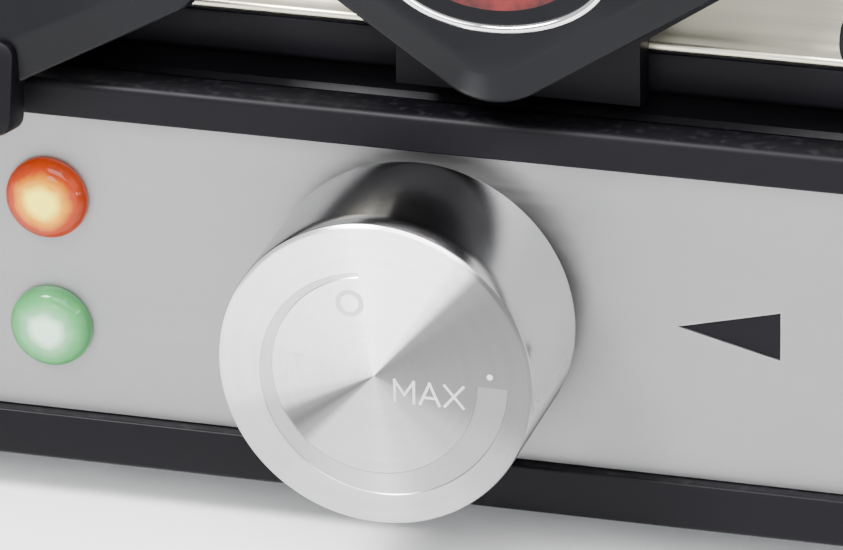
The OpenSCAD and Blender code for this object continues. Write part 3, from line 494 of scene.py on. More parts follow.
def lit_lens(name, centre, radius, rim, middle, heart, strength):
    """Lit coloured lens: deep colour at the rim, brighter bands inwards, a white heart."""
    made = Finish(name, roughness=0.10, Coat_Weight=0.06, Coat_Roughness=0.03, Specular_IOR_Level=0.16)
    tree = made.tree
    local = made.stretched((1.0, 1.0, 1.0), at=centre)
    away = tree.nodes.new("ShaderNodeVectorMath")
    away.operation = "LENGTH"
    tree.links.new(local, away.inputs[0])
    swirl = noise(tree, made.stretched((260.0, 90.0, 260.0), at=centre), 1.0, 3.0)
    spread = maths(tree, "ADD", maths(tree, "DIVIDE", away.outputs["Value"], radius * MM),
                   maths(tree, "MULTIPLY", maths(tree, "SUBTRACT", swirl, 0.5), 0.30))
    colours = tree.nodes.new("ShaderNodeValToRGB")
    stops = [(0.0, heart), (0.26, heart), (0.48, middle), (0.74, rim), (1.0, shade(rim, 0.55))]
    for position, value in stops[1:-1]:
        colours.color_ramp.elements.new(position)
    for element, (position, value) in zip(colours.color_ramp.elements, stops):
        element.position = position
        element.color = (*value, 1.0)
    tree.links.new(spread, colours.inputs["Fac"])
    depth = ramp(tree, spread, 0.0, 1.2, 0.75, 0.55)
    made.feed("Base Color", made.mix(depth, colours.outputs["Color"], (0, 0, 0)))
    made.feed("Emission Color", colours.outputs["Color"])
    made.shader.inputs["Emission Strength"].default_value = strength
    return made.material


def polished_stone(name, colour):
    """Deep red stone-look plastic: dark clouds under a clear coat."""
    made = Finish(name, roughness=0.12, Coat_Weight=0.12, Coat_Roughness=0.02, Specular_IOR_Level=0.2)
    tree = made.tree
    cloud = noise(tree, made.object, 130.0, 5.0, 0.6)
    veil = ramp(tree, cloud, 0.40, 0.66)
    made.feed("Base Color", made.mix(veil, shade(colour, 0.35), shade(colour, 1.9)))
    made.feed("Roughness", ramp(tree, cloud, 0.3, 0.7, 0.08, 0.20))
    return made.material


def coated_casting(name, colour):
    """Dark non-stick coating: fine sparkle, a slightly wavy skin and rubbed peg edges."""
    made = Finish(name, roughness=0.4, Coat_Weight=0.05, Specular_IOR_Level=0.28)
    tree = made.tree
    skin = group_node(tree, "Moulded grain", Vector=made.object, Scale=1500.0)
    wear = group_node(tree, "Edge wear", Vector=made.object, Radius=0.001)
    spark = ramp(tree, noise(tree, made.object, 2600.0, 1.0), 0.66, 0.74)
    base = made.mix(skin.outputs["Patch"], shade(colour, 0.8), shade(colour, 1.25))
    base = made.mix(spark, base, shade(colour, 4.0))
    base = made.mix(maths(tree, "MULTIPLY", wear.outputs["Mask"], 0.4), base, (0.12, 0.115, 0.11))
    made.feed("Base Color", base)
    made.feed("Roughness", ramp(tree, skin.outputs["Height"], 0.3, 0.7, 0.32, 0.46))
    made.bump(skin.outputs["Height"], 0.25, 0.00010)
    return made.material


def stage_paper(name):
    """Pale floor with the faintest unevenness."""
    made = Finish(name, roughness=0.75)
    cloud = noise(made.tree, made.object, 3.0, 3.0)
    made.feed("Base Color", made.mix(cloud, (0.90, 0.90, 0.90), (0.93, 0.93, 0.93)))
    return made.material


FINISHES = {}


def finish_for(slot):
    """The material of one of the record's slots, built once."""
    if slot in FINISHES:
        return FINISHES[slot]
    hues = bpy.context.scene.waffle_colours
    lamp_y = (FACE_Y - 0.4) * MM
    amber, green = (place(n) for n in ("amber_lens", "green_lens"))
    lamp = {"amber_lens": amber, "green_lens": green}
    heart = {k: ((v[0][0] + v[1][0]) / 2 * MM, lamp_y - 0.0032, (v[0][2] + v[1][2]) / 2 * MM)
             for k, v in lamp.items()}
    along_x, along_y, upright = (14.0, 900.0, 900.0), (900.0, 14.0, 900.0), (900.0, 900.0, 14.0)
    makers = {
        "black_moulding": lambda n: moulded(n, hues.moulding),
        "slate_plastic": lambda n: moulded(n, hues.shield, rough=(0.34, 0.46), scale=1300.0,
                                           bump=0.14, level=0.12),
        "brushed_fascia": lambda n: brushed_metal(n, hues.fascia, along_x, rough=(0.46, 0.58), lines=0.05),
        "champagne_steel": lambda n: brushed_metal(n, hues.cover, along_x, rough=(0.24, 0.36), lines=0.08),
        "turned_aluminium": lambda n: turned_metal(n, hues.knob),
        "amber_lens": lambda n: lit_lens(n, heart["amber_lens"], LENS_GLOW_R, (0.26, 0.026, 0.004),
                                         (0.60, 0.24, 0.006), (1.0, 0.85, 0.08), 2.5),
        "green_lens": lambda n: lit_lens(n, heart["green_lens"], LENS_GLOW_R, (0.07, 0.30, 0.10),
                                         (0.20, 0.46, 0.24), (0.72, 0.95, 0.76), 1.5),
        "garnet_inlay": lambda n: polished_stone(n, hues.garnet),
        "chrome_ring": lambda n: plain_metal(n, (0.80, 0.80, 0.81), rough=(0.05, 0.10), scale=90.0),
        "cast_plate": lambda n: coated_casting(n, (0.014, 0.014, 0.016)),
        "heater_sheath": lambda n: plain_metal(n, (0.16, 0.15, 0.14), rough=(0.45, 0.6)),
        "bright_tray": lambda n: brushed_metal(n, (0.70, 0.70, 0.70), along_y, lines=0.10),
        "galvanised_sheet": lambda n: plain_metal(n, (0.46, 0.47, 0.48), rough=(0.35, 0.55), scale=70.0),
        "bright_steel": lambda n: brushed_metal(n, (0.60, 0.60, 0.61), upright, lines=0.10),
        "spring_steel": lambda n: plain_metal(n, (0.50, 0.50, 0.50)),
        "screw_steel": lambda n: plain_metal(n, (0.56, 0.56, 0.55), rough=(0.25, 0.38)),
        "brass": lambda n: plain_metal(n, (0.70, 0.52, 0.22)),
        "bimetal": lambda n: brushed_metal(n, (0.62, 0.42, 0.24), along_x, lines=0.12),
        "ceramic": lambda n: moulded(n, (0.74, 0.71, 0.64), rough=(0.5, 0.65), scale=700.0,
                                     light=1.1, level=0.5),
        "cream_plastic": lambda n: moulded(n, (0.66, 0.63, 0.54), rough=(0.35, 0.5), light=1.15, level=0.5),
        "foot_rubber": lambda n: moulded(n, (0.017, 0.017, 0.017), rough=(0.62, 0.78), scale=600.0, bump=0.3),
        "red_wire": lambda n: moulded(n, (0.42, 0.03, 0.02), rough=(0.4, 0.5), light=1.3),
        "green_wire": lambda n: moulded(n, (0.16, 0.36, 0.04), rough=(0.4, 0.5), light=1.3),
    }
    makers["turned wall"] = lambda n: turned_side(n, hues.knob)
    makers["etched marks"] = lambda n: plain_metal(n, (0.56, 0.56, 0.56), rough=(0.38, 0.5))
    FINISHES[slot] = makers[slot](slot.replace("_", " "))
    return FINISHES[slot]


# ---------------------------------------------------------------- surfaces

def quads(rows, columns, round_rows=False, round_columns=True, start=0):
    """Faces of a grid of rows x columns points, each a ring closed along its columns."""
    i = np.arange(rows if round_rows else rows - 1)
    j = np.arange(columns if round_columns else columns - 1)
    i, j = (a.ravel() for a in np.meshgrid(i, j, indexing="ij"))
    below, beside = (i + 1) % rows, (j + 1) % columns
    return start + np.stack([i * columns + j, i * columns + beside, below * columns + beside,
                             below * columns + j], -1)


class Shape:
    """Collects grids of points in millimetres into one mesh."""

    def __init__(self):
        self.points = []
        self.faces = []
        self.count = 0

    def grid(self, points, round_rows=False, round_columns=True, caps=(False, False)):
        """Adds a grid. caps closes the first and the last row with one face each."""
        rows, columns = points.shape[:2]
        self.faces += quads(rows, columns, round_rows, round_columns, self.count).tolist()
        if caps[0]:
            self.faces.append([self.count + j for j in reversed(range(columns))])
        if caps[1]:
            last = self.count + (rows - 1) * columns
            self.faces.append([last + j for j in range(columns)])
        self.points.append(points.reshape(-1, 3))
        self.count += rows * columns
        return self

    def piece(self, name, body, slot, replaces=(), sharp=38.0, finish=None):
        """Makes the object: merges doubles, points the faces outwards, smooths, rides."""
        mesh = bpy.data.meshes.new(name)
        mesh.from_pydata((np.concatenate(self.points) * MM).tolist(), [], self.faces)
        mesh.validate()
        work = bmesh.new()
        work.from_mesh(mesh)
        bmesh.ops.remove_doubles(work, verts=work.verts, dist=2e-7)
        bmesh.ops.recalc_face_normals(work, faces=work.faces)
        work.to_mesh(mesh)
        work.free()
        return settle(name, mesh, body, slot, replaces, sharp, finish)


def settle(name, mesh, body, slot, replaces, sharp, finish=None):
    """Links a finished mesh as a piece that rides on a body and stands for its CAD nodes."""
    mesh.shade_smooth()
    mesh.set_sharp_from_angle(angle=math.radians(sharp))
    made = bpy.data.objects.new(name, mesh)
    bpy.context.scene.collection.objects.link(made)
    mesh.materials.append(finish_for(finish or slot))
    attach(made, body)
    if replaces:
        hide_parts(*replaces)
    return made


def rounded_rectangle(width, depth, radius, centre=(0.0, 0.0), arc=10, side=6):
    """Closed loop, anticlockwise: four quarter circles joined by straight sides cut in equal steps."""
    radius = max(radius, 0.01)
    turn = np.linspace(0, math.pi / 2, arc + 1)
    cx, cy = width / 2 - radius, depth / 2 - radius
    parts = []
    for k, (sx, sy) in enumerate([(1, 1), (-1, 1), (-1, -1), (1, -1)]):
        angle = turn + k * math.pi / 2
        parts.append(np.stack([sx * cx + radius * np.cos(angle), sy * cy + radius * np.sin(angle)], -1))
    joined = []
    for k, part in enumerate(parts):
        following = parts[(k + 1) % 4][0]
        step = np.linspace(0, 1, side + 1)[1:-1, None]
        joined += [part, part[-1] + (following - part[-1]) * step]
    return np.concatenate(joined) + np.array(centre)


def lifted(loop, z):
    """A flat loop placed at height z."""
    return np.column_stack([loop, np.full(len(loop), z)])


def shrunk(width, depth, inset, radius, centre, z, **cuts):
    """A rounded rectangle shrunk by an inset and placed at height z."""
    return lifted(rounded_rectangle(width - 2 * inset, depth - 2 * inset, radius, centre, **cuts), z)


def quarter(start, end, steps=5):
    """Angles of a quarter turn, for the rounding of an edge."""
    return np.linspace(math.radians(start), math.radians(end), steps)


def lathe(profile, centre, axis="y", around=96):
    """Profile (radius, distance) turned about an axis: point = centre + r(cos, sin) + h along it."""
    radius, reach = np.array(profile, float).T
    angle = np.linspace(0, TAU, around, endpoint=False)
    a = radius[:, None] * np.cos(angle)
    b = radius[:, None] * np.sin(angle)
    h = np.broadcast_to(reach[:, None], a.shape)
    order = {"y": (a, h, b), "z": (a, b, h), "x": (h, a, b)}[axis]
    return np.stack(order, -1) + np.array(centre)


def shield_loop(half_width, height, inset, slope):
    """Outline of a shield: tip arc, two shoulder arcs and two top arcs, all shrunk by inset
    about their own centres, so the edges stay parallel. Anticlockwise from the tip."""
    lean = math.radians(slope)
    normal = np.array([math.sin(lean), -math.cos(lean)])
    along = np.array([math.cos(lean), math.sin(lean)])
    start = np.array([0.0, TIP_R]) + (TIP_R - SHOULDER_R) * normal
    centre = start + (half_width - SHOULDER_R - start[0]) / along[0] * along
    top = min(TOP_R, height - centre[1] - 0.5)
    arcs = [((0.0, TIP_R), TIP_R, -90, slope - 90, 10), (centre, SHOULDER_R, slope - 90, 0, 8),
            ((half_width - top, height - top), top, 0, 90, 10)]
    right = []
    for middle, radius, first, last, steps in arcs:
        angle = np.radians(np.linspace(first, last, steps))
        size = max(radius - inset, 0.05)
        right.append(np.array(middle) + size * np.stack([np.cos(angle), np.sin(angle)], -1))
    right = np.concatenate(right)
    left = right[:0:-1] * [-1, 1]
    return np.concatenate([right, left])


def on_shield(points, node_x, tip_z):
    """Carries shield-plane points (across, up, out) to their place in the leaning plane, whose
    point stands in front of the fascia."""
    a = math.radians(LEAN)
    front_y = FACE_Y - SHIELD_REACH
    x, u, w = np.moveaxis(points, -1, 0)
    return np.stack([node_x + x, front_y + u * math.sin(a) - w * math.cos(a),
                     tip_z + u * math.cos(a) + w * math.sin(a)], -1)


def shield_rows(half_width, height, thick, slope, back_round, rim):
    """Loops of a shield from its back to the middle of its front: rounded back edge, side,
    rounded edge, a wide sloping chamfer up to the inset rim, and the flat field."""
    rows = [(back_round * (1 - math.sin(a)), -thick + back_round * (1 - math.cos(a)))
            for a in quarter(0, 90, 4)]
    drop, edge = 1.7, 0.8
    rows += [(edge * (1 - math.cos(a)), -drop - edge + edge * math.sin(a)) for a in quarter(0, 65, 5)]
    rows += [(1.1, -drop + 0.12), (rim - 0.6, -0.20), (rim - 0.2, -0.06), (rim + 0.2, 0.0), (rim + 1.4, 0.0)]
    return np.stack([lifted(shield_loop(half_width, height, inset, slope), out) for inset, out in rows])


def bar(first, last, half_width, rise, centre):
    """A thin straight stroke on the knob's face, as two rows of four corners."""
    first, last = np.array(first, float), np.array(last, float)
    run = (last - first) / np.linalg.norm(last - first)
    across = np.array([-run[1], run[0]]) * half_width
    first, last = first - run * half_width, last + run * half_width
    flat = np.array([first + across, first - across, last - across, last + across])
    rows = [np.column_stack([flat[:, 0], np.full(4, MARK_SEAT - up), flat[:, 1]]) for up in (0.0, rise)]
    return np.stack(rows) + np.array(centre)


def softened(node, width):
    """Copy of a CAD node with its doubles merged and its edges rounded by a Bevel modifier."""
    source = frame["nodes"][node]
    mesh = source.data.copy()
    mesh.materials.clear()
    work = bmesh.new()
    work.from_mesh(mesh)
    bmesh.ops.remove_doubles(work, verts=work.verts, dist=2e-7)
    bmesh.ops.dissolve_limit(work, angle_limit=math.radians(1.0), verts=work.verts, edges=work.edges)
    work.to_mesh(mesh)
    work.free()
    made = settle(node + "_rounded", mesh, BODY_OF[node], SLOT_OF[node], (node,), SOFT_SHARP)
    bevel = made.modifiers.new("Rounded edges", "BEVEL")
    bevel.width = width * MM
    bevel.segments = 2
    bevel.limit_method = "ANGLE"
    bevel.angle_limit = math.radians(SOFT_SHARP)
    bevel.use_clamp_overlap = True
    bevel.harden_normals = True
    return made


# ---------------------------------------------------------------- operators

class WAFFLE_OT_stage(bpy.types.Operator):
    """Pale floor, soft lights and the camera"""
    bl_idname = "waffle.stage"
    bl_label = "Stage"

    def execute(self, context):
        scene = context.scene
        size = 12.0
        mesh = bpy.data.meshes.new("floor")
        corners = [(-size, -size, 0), (size, -size, 0), (size, size, 0), (-size, size, 0)]
        mesh.from_pydata(corners, [], [(0, 1, 2, 3)])
        floor = bpy.data.objects.new("floor", mesh)
        scene.collection.objects.link(floor)
        mesh.materials.append(stage_paper("pale floor"))
        world = bpy.data.worlds.new("soft room")
        world.use_nodes = True
        world.node_tree.nodes["Background"].inputs["Color"].default_value = (0.97, 0.98, 1.0, 1.0)
        world.node_tree.nodes["Background"].inputs["Strength"].default_value = 0.95
        scene.world = world
        softboxes = [
            ("key", (-0.7, -1.1, 1.4), 0.5, 90.0),
            ("front", (0.2, -1.3, 1.1), 1.0, 36.0),
            ("fill", (1.5, -1.3, 0.7), 1.2, 9.0),
            ("rear", (0.3, 1.6, 1.5), 1.2, 12.0),
        ]
        for label, where, width, power in softboxes:
            light = bpy.data.lights.new(label, "AREA")
            light.shape = "SQUARE"
            light.size = width
            light.energy = power
            lamp = bpy.data.objects.new(label, light)
            lamp.location = where
            lamp.rotation_euler = (Vector((0, 0, 0.05)) - Vector(where)).to_track_quat("-Z", "Y").to_euler()
            scene.collection.objects.link(lamp)
        self.add_camera(scene)
        return {"FINISHED"}

    @staticmethod
    def add_camera(scene):
        """Long lens, 24 degrees above and 16 to the right of the knob, with a slight roll."""
        azimuth, elevation, roll = math.radians(16.415), math.radians(23.966), math.radians(0.795)
        distance = 1.097
        focal_in_widths = 7652 / 843
        aim = Vector((KNOB_X, FACE_Y, KNOB_Z)) * MM
        back = Vector((math.sin(azimuth) * math.cos(elevation), -math.cos(azimuth) * math.cos(elevation),
                       math.sin(elevation)))
        data = bpy.data.cameras.new("camera")
        data.sensor_width = 36.0
        data.lens = 36.0 * focal_in_widths
        data.shift_x = -0.0070
        data.shift_y = 0.0297
        data.clip_end = 60.0
        camera = bpy.data.objects.new("camera", data)
        camera.location = aim + back * distance
        turn = (-back).to_track_quat("-Z", "Y").to_matrix() @ Matrix.Rotation(-roll, 3, "Z")
        camera.rotation_euler = turn.to_euler()
        scene.collection.objects.link(camera)
        scene.camera = camera


class WAFFLE_OT_knob(bpy.types.Operator):
    """Turned knob cap with its engraved scale and marks"""
    bl_idname = "waffle.knob"
    bl_label = "Control knob"

    def execute(self, context):
        depth = context.scene.waffle_sizes.engraving / MM
        radius = (CAP[1][0] - CAP[0][0]) / 2
        length = CAP[1][1] - CAP[0][1]
        centre = (KNOB_X, CAP[0][1], KNOB_Z)
        start, turn = math.radians(SCALE_START), math.radians(SCALE_TURN)
        in_scale, beside = 260, 90
        count = in_scale + beside
        angle = np.concatenate([np.linspace(start, start + turn, in_scale),
                                np.linspace(start + turn + 0.006, start + TAU - 0.006, beside)])
        share = np.concatenate([np.linspace(0, 1, in_scale), np.zeros(beside)])
        cut = np.concatenate([np.ones(in_scale), np.zeros(beside)]) * depth
        outer = SCALE_R + SCALE_THIN + SCALE_GROWTH * share
        face, bevel, soft, wall, bore_end, slope = 0.05, 0.55, 0.22, 1.2, 2.0, 0.08

        def ring(r, h):
            """One loop of the section, with the same radius and depth all round."""
            return np.full(count, r), np.full(count, h)

        rows = [ring(r, face) for r in (0.35, 3.0, 6.0, 9.0, 12.0, 14.3, SCALE_R - slope)]
        rows += [(np.full(count, SCALE_R + slope), face + cut), (outer - slope, face + cut)]
        rows += [(outer + slope, np.full(count, face)), ring(21.4, face), ring(radius - bevel - soft, face)]
        rows += [ring(radius - bevel, face + 0.06), ring(radius - 0.12, face + bevel - 0.16),
                 ring(radius, face + bevel + 0.1)]
        rows += [ring(radius, h) for h in np.linspace(4, length - 0.5, 8)]
        rows += [ring(radius - 0.4 + 0.4 * math.cos(a), length - 0.4 + 0.4 * math.sin(a))
                 for a in quarter(0, 90, 5)]
        rows += [ring(radius - wall, length), ring(radius - wall, bore_end), ring(0.4, bore_end)]
        r, h = (np.stack(values) for values in zip(*rows))
        points = np.stack([r * np.cos(angle), h, r * np.sin(angle)], -1) + np.array(centre)
        cap = Shape().grid(points, caps=(True, True)).piece(
            "knob_cap_turned", "knob", "turned_aluminium", ("knob_cap",), 25)
        cap.data.materials.append(finish_for("turned wall"))
        normals = np.empty(len(cap.data.polygons) * 3)
        cap.data.polygons.foreach_get("normal", normals)
        cap.data.polygons.foreach_set("material_index", (normals[1::3] > -0.6).astype(np.int32))
        self.marks(centre)
        return {"FINISHED"}

    @staticmethod
    def marks(centre):
        """Off ring, a two, the word for the highest setting and a dot, as fine etched strokes."""
        low, high = -3.5, -0.3
        letters = [((3.0, low), (3.0, high)), ((3.0, high), (4.4, low + 1.1)),
                   ((4.4, low + 1.1), (5.8, high)), ((5.8, high), (5.8, low)),
                   ((6.7, low), (8.1, high)), ((8.1, high), (9.5, low)), ((7.2, low + 1.0), (9.0, low + 1.0)),
                   ((10.3, low), (13.0, high)), ((10.3, high), (13.0, low)),
                   ((-13.0, -2.0), (-13.0, 2.0)), ((-11.3, -2.0), (-11.3, 2.0)),
                   ((-13.8, 2.1), (-10.5, 2.1)), ((-13.8, -2.1), (-10.5, -2.1))]
        shape = Shape()
        for number, (first, last) in enumerate(letters):
            shape.grid(bar(first, last, 0.2, 0.045 + 0.0007 * number, centre), caps=(True, True))
        turn = np.linspace(0, TAU, 40, endpoint=False)
        for middle, inner, outer in (((-3.4, 10.8), 1.35, 2.05), ((16.9, 1.7), 0.01, 0.45)):
            section = [(outer, 0.0), (outer, 0.05), (inner, 0.05), (inner, 0.0)]
            loops = [np.stack([middle[0] + r * np.cos(turn), np.full(40, MARK_SEAT - up),
                               middle[1] + r * np.sin(turn)], -1) for r, up in section]
            shape.grid(np.stack(loops) + np.array(centre), round_rows=True)
        shape.piece("knob_scale_marks", "knob", "turned_aluminium", finish="etched marks")


class WAFFLE_OT_lamps(bpy.types.Operator):
    """Two domed pilot lenses with inner rings"""
    bl_idname = "waffle.lamps"
    bl_label = "Pilot lamps"

    def execute(self, context):
        for node in ("amber_lens", "green_lens"):
            low, high = place(node)
            radius = (high[0] - low[0]) / 2
            rise = FACE_Y - low[1]
            a = quarter(8, 90, 22)
            dome = np.stack([radius * np.cos(a), -0.6 - (rise - 0.6) * np.sin(a)], -1)
            ripple = 0.05 * np.sin(dome[:, 0] / radius * 9 * math.pi)
            dome[:, 1] += ripple * (dome[:, 0] < radius * 0.93)
            back = high[1] - FACE_Y
            stem = [(0.2, back), (4.8, back), (4.8, 0.02), (radius - 0.2, 0.0), (radius, -0.2),
                    (radius, -0.55)]
            profile = np.concatenate([stem, dome])
            profile[-1, 0] = 0.12
            centre = ((low[0] + high[0]) / 2, FACE_Y, (low[2] + high[2]) / 2)
            Shape().grid(lathe(profile, centre), caps=(True, True)).piece(
                node + "_dome", "base", node, (node,), 50)
        return {"FINISHED"}


class WAFFLE_OT_base(bpy.types.Operator):
    """Base walls with their fascia pocket, the lower strip and the grooved rim"""
    bl_idname = "waffle.base"
    bl_label = "Base"

    def execute(self, context):
        edge = context.scene.waffle_sizes.edge / MM
        width, depth = TUB[1][0] - TUB[0][0], TUB[1][1] - TUB[0][1]
        centre = (0.0, (TUB[0][1] + TUB[1][1]) / 2)
        strip_top = FASCIA[0][2] - 0.2
        self.strip(width, depth, centre, strip_top, edge)
        self.rim(width, depth, centre)
        return {"FINISHED"}

    @staticmethod
    def strip(width, depth, centre, strip_top, edge):
        """Two closed rings: the skirt below the fascia, and the wall above it with the pocket."""
        shape = Shape()
        low = TUB[0][2]
        section = [(edge * (1 - math.sin(a)), low + edge * (1 - math.cos(a))) for a in quarter(0, 90, 5)]
        small = edge * 0.6
        section += [(small * (1 - math.cos(a)), strip_top - small * (1 - math.sin(a)))
                    for a in quarter(0, 90, 5)]
        section += [(WALL, strip_top), (WALL, low)]
        loops = [shrunk(width, depth, inset, BASE_CORNER - inset, centre, z) for inset, z in section]
        shape.grid(np.stack(loops), round_rows=True)
        pocket_x, pocket_y = 114.0, FACE_Y + 0.8
        front = centre[1] - depth / 2
        high = RIM[0][2]

        def walls(inset, radius, pocket):
            """Rounded rectangle that starts and ends beside the pocket, with its floor between."""
            loop = rounded_rectangle(width - 2 * inset, depth - 2 * inset, radius, centre, side=2)
            keep = ~((loop[:, 1] < front + inset + 0.01) & (abs(loop[:, 0]) < pocket_x - 0.5))
            loop = loop[keep]
            first = np.argmin(np.where((loop[:, 0] > 0) & (loop[:, 1] < centre[1]), abs(loop[:, 0]), 1e9))
            loop = np.roll(loop, -first, axis=0)
            added = np.array([(-pocket_x, front + inset), (-pocket_x, pocket), (pocket_x, pocket),
                              (pocket_x, front + inset)])
            return np.concatenate([loop, added])

        outer = walls(0.0, BASE_CORNER, pocket_y)
        inner = walls(WALL, BASE_CORNER - WALL, pocket_y + 2.0)
        seam = strip_top - 0.05
        rows = [(outer, seam), (outer, high), (inner, high), (inner, seam)]
        shape.grid(np.stack([lifted(loop, z) for loop, z in rows]), round_rows=True)
        shape.piece("base_walls", "base", "black_moulding", ("base_tub",), 30)

    @staticmethod
    def rim(width, depth, centre):
        """Ring of the rim: front face, rounded brow, drip groove, inner land, plate opening."""
        low, top = RIM[0][2], RIM[1][2]
        plate = place("lower_plate")
        plate_centre = (0.0, (plate[0][1] + plate[1][1]) / 2)
        opening = (plate[1][0] - plate[0][0] + 1, plate[1][1] - plate[0][1] + 1)
        floor = top - 4.4
        section = [(0.25, low), (0.0, low + 0.25)]
        brow = 1.3
        section += [(brow * (1 - math.cos(a)), top - brow * (1 - math.sin(a))) for a in quarter(0, 90, 7)]
        section += [(5.4, top), (5.8, top - 0.15), (6.0, top - 0.6), (6.1, floor + 0.8), (6.9, floor)]
        section += [(16.2, floor), (16.9, floor + 0.8), (17.0, top - 0.5), (17.4, top)]
        loops = [shrunk(width, depth, inset, max(BASE_CORNER - inset, 5.0), centre, z)
                 for inset, z in section]
        for z in (top, top - 0.4, low):
            grow = 0.5 if z == top else 0.0
            loops.append(shrunk(*opening, -grow / 2, OPENING_CORNER, plate_centre, z))
        Shape().grid(np.stack(loops), round_rows=True).piece(
            "rim_moulding", "base", "black_moulding", ("base_rim",), 30)


class WAFFLE_OT_feet(bpy.types.Operator):
    """Four rubber feet"""
    bl_idname = "waffle.feet"
    bl_label = "Feet"

    def execute(self, context):
        low, high = place("feet")
        top = high[2]
        out = 10.6
        lip = [(9.0 + 0.8 * math.cos(a), 0.8 + 0.8 * math.sin(a)) for a in quarter(-90, 0, 5)]
        profile = [(2.2, top), (2.2, 2.5), (4.4, 2.4), (4.6, 0.4), (5.0, 0.0)] + lip
        profile += [(10.0, 3.0), (9.9, 3.4), (10.3, 3.8), (out, top - 0.4), (out - 0.3, top)]
        shape = Shape()
        for x in (low[0] + out, high[0] - out):
            for y in (low[1] + out, high[1] - out):
                shape.grid(lathe(profile, (x, y, 0.0), "z", 64), round_rows=True)
        shape.piece("rubber_feet", "base", "foot_rubber", ("feet",), 40)
        return {"FINISHED"}


class WAFFLE_OT_lid(bpy.types.Operator):
    """Black band and pressed steel cover of the lid"""
    bl_idname = "waffle.lid"
    bl_label = "Lid"

    def execute(self, context):
        low, high = LID_BAND
        width, depth = high[0] - low[0], high[1] - low[1]
        centre = (0.0, (low[1] + high[1]) / 2)
        plate = place("upper_plate")
        plate_centre = (0.0, (plate[0][1] + plate[1][1]) / 2)
        opening = (plate[1][0] - plate[0][0] + 1, plate[1][1] - plate[0][1] + 1)
        section = [(1.0 * (1 - math.sin(a)), low[2] + 1.0 * (1 - math.cos(a))) for a in quarter(0, 90, 6)]
        section += [(0.0, high[2] - 0.9), (0.15, high[2] - 0.45), (0.6, high[2] - 0.4), (0.7, high[2])]
        loops = [shrunk(width, depth, inset, LID_CORNER - inset, centre, z) for inset, z in section]
        loops += [shrunk(*opening, 0.0, OPENING_CORNER, plate_centre, z) for z in (high[2], low[2])]
        Shape().grid(np.stack(loops), round_rows=True).piece(
            "lid_band", "lid", "black_moulding", ("lid_frame",), 30)
        self.cover(width, depth, centre, context.scene.waffle_sizes.sheet_edge / MM)
        return {"FINISHED"}

    @staticmethod
    def cover(width, depth, centre, edge):
        """Low dome over a short upright skirt: each loop is the lid's outline shrunk by an inset, at the
        height that a smoothed profile gives it; the same loops 1 mm further in close the shell below."""
        base, rise = COVER[0][2], COVER[1][2] - COVER[0][2]
        skirt = 1.4
        limit = min(width, depth) / 2 - 14
        loops = []

        def loop(inset, z):
            """Outline shrunk by inset, its corners opening a little, but never past a half circle."""
            radius = min(LID_CORNER + 0.15 * inset, min(width, depth) / 2 - inset - 0.5)
            return shrunk(width, depth, inset, radius, centre, z, arc=12, side=14)

        for a in quarter(0, 90, 4):
            loops.append(loop(edge * (1 - math.sin(a)), base + edge * (1 - math.cos(a))))
        for a in quarter(0, 60, 4):
            loops.append(loop(0.8 * (1 - math.cos(a)), base + skirt - 0.7 + 0.8 * math.sin(a)))
        outline = np.array([(0.8, 1.55), (3.0, 3.35), (7.0, 6.3), (11.0, 9.0), (15.0, 11.2), (19.0, 12.85),
                            (24.0, 14.5), (30.0, 16.2), (37.0, 17.25), (45.0, 17.8), (56.0, 17.95),
                            (70.0, 17.99), (limit, 18.0)])
        fine = 0.8 + (limit - 0.8) * np.linspace(0, 1, 34) ** 1.4
        smooth = np.interp(fine, outline[:, 0], outline[:, 1])
        kernel = np.array([0.25, 0.5, 0.25])
        smooth[1:-1] = np.convolve(smooth, kernel, "valid")
        smooth = smooth * rise / 18.0
        for inset, z in zip(fine, smooth):
            loops.append(loop(inset, base + z))
        inner = [loop(inset + 1.0, base + z - 1.0) for inset, z in list(zip(fine, smooth))[::-1]][1:]
        inner += [loop(1.0, base)]
        shape = Shape()
        shape.grid(np.stack(loops), caps=(False, True))
        shape.grid(np.stack(inner), caps=(True, False))
        shape.grid(np.stack([inner[-1], loops[0]]))
        shape.piece("lid_cover_pressed", "lid", "champagne_steel", ("lid_cover",), 30)


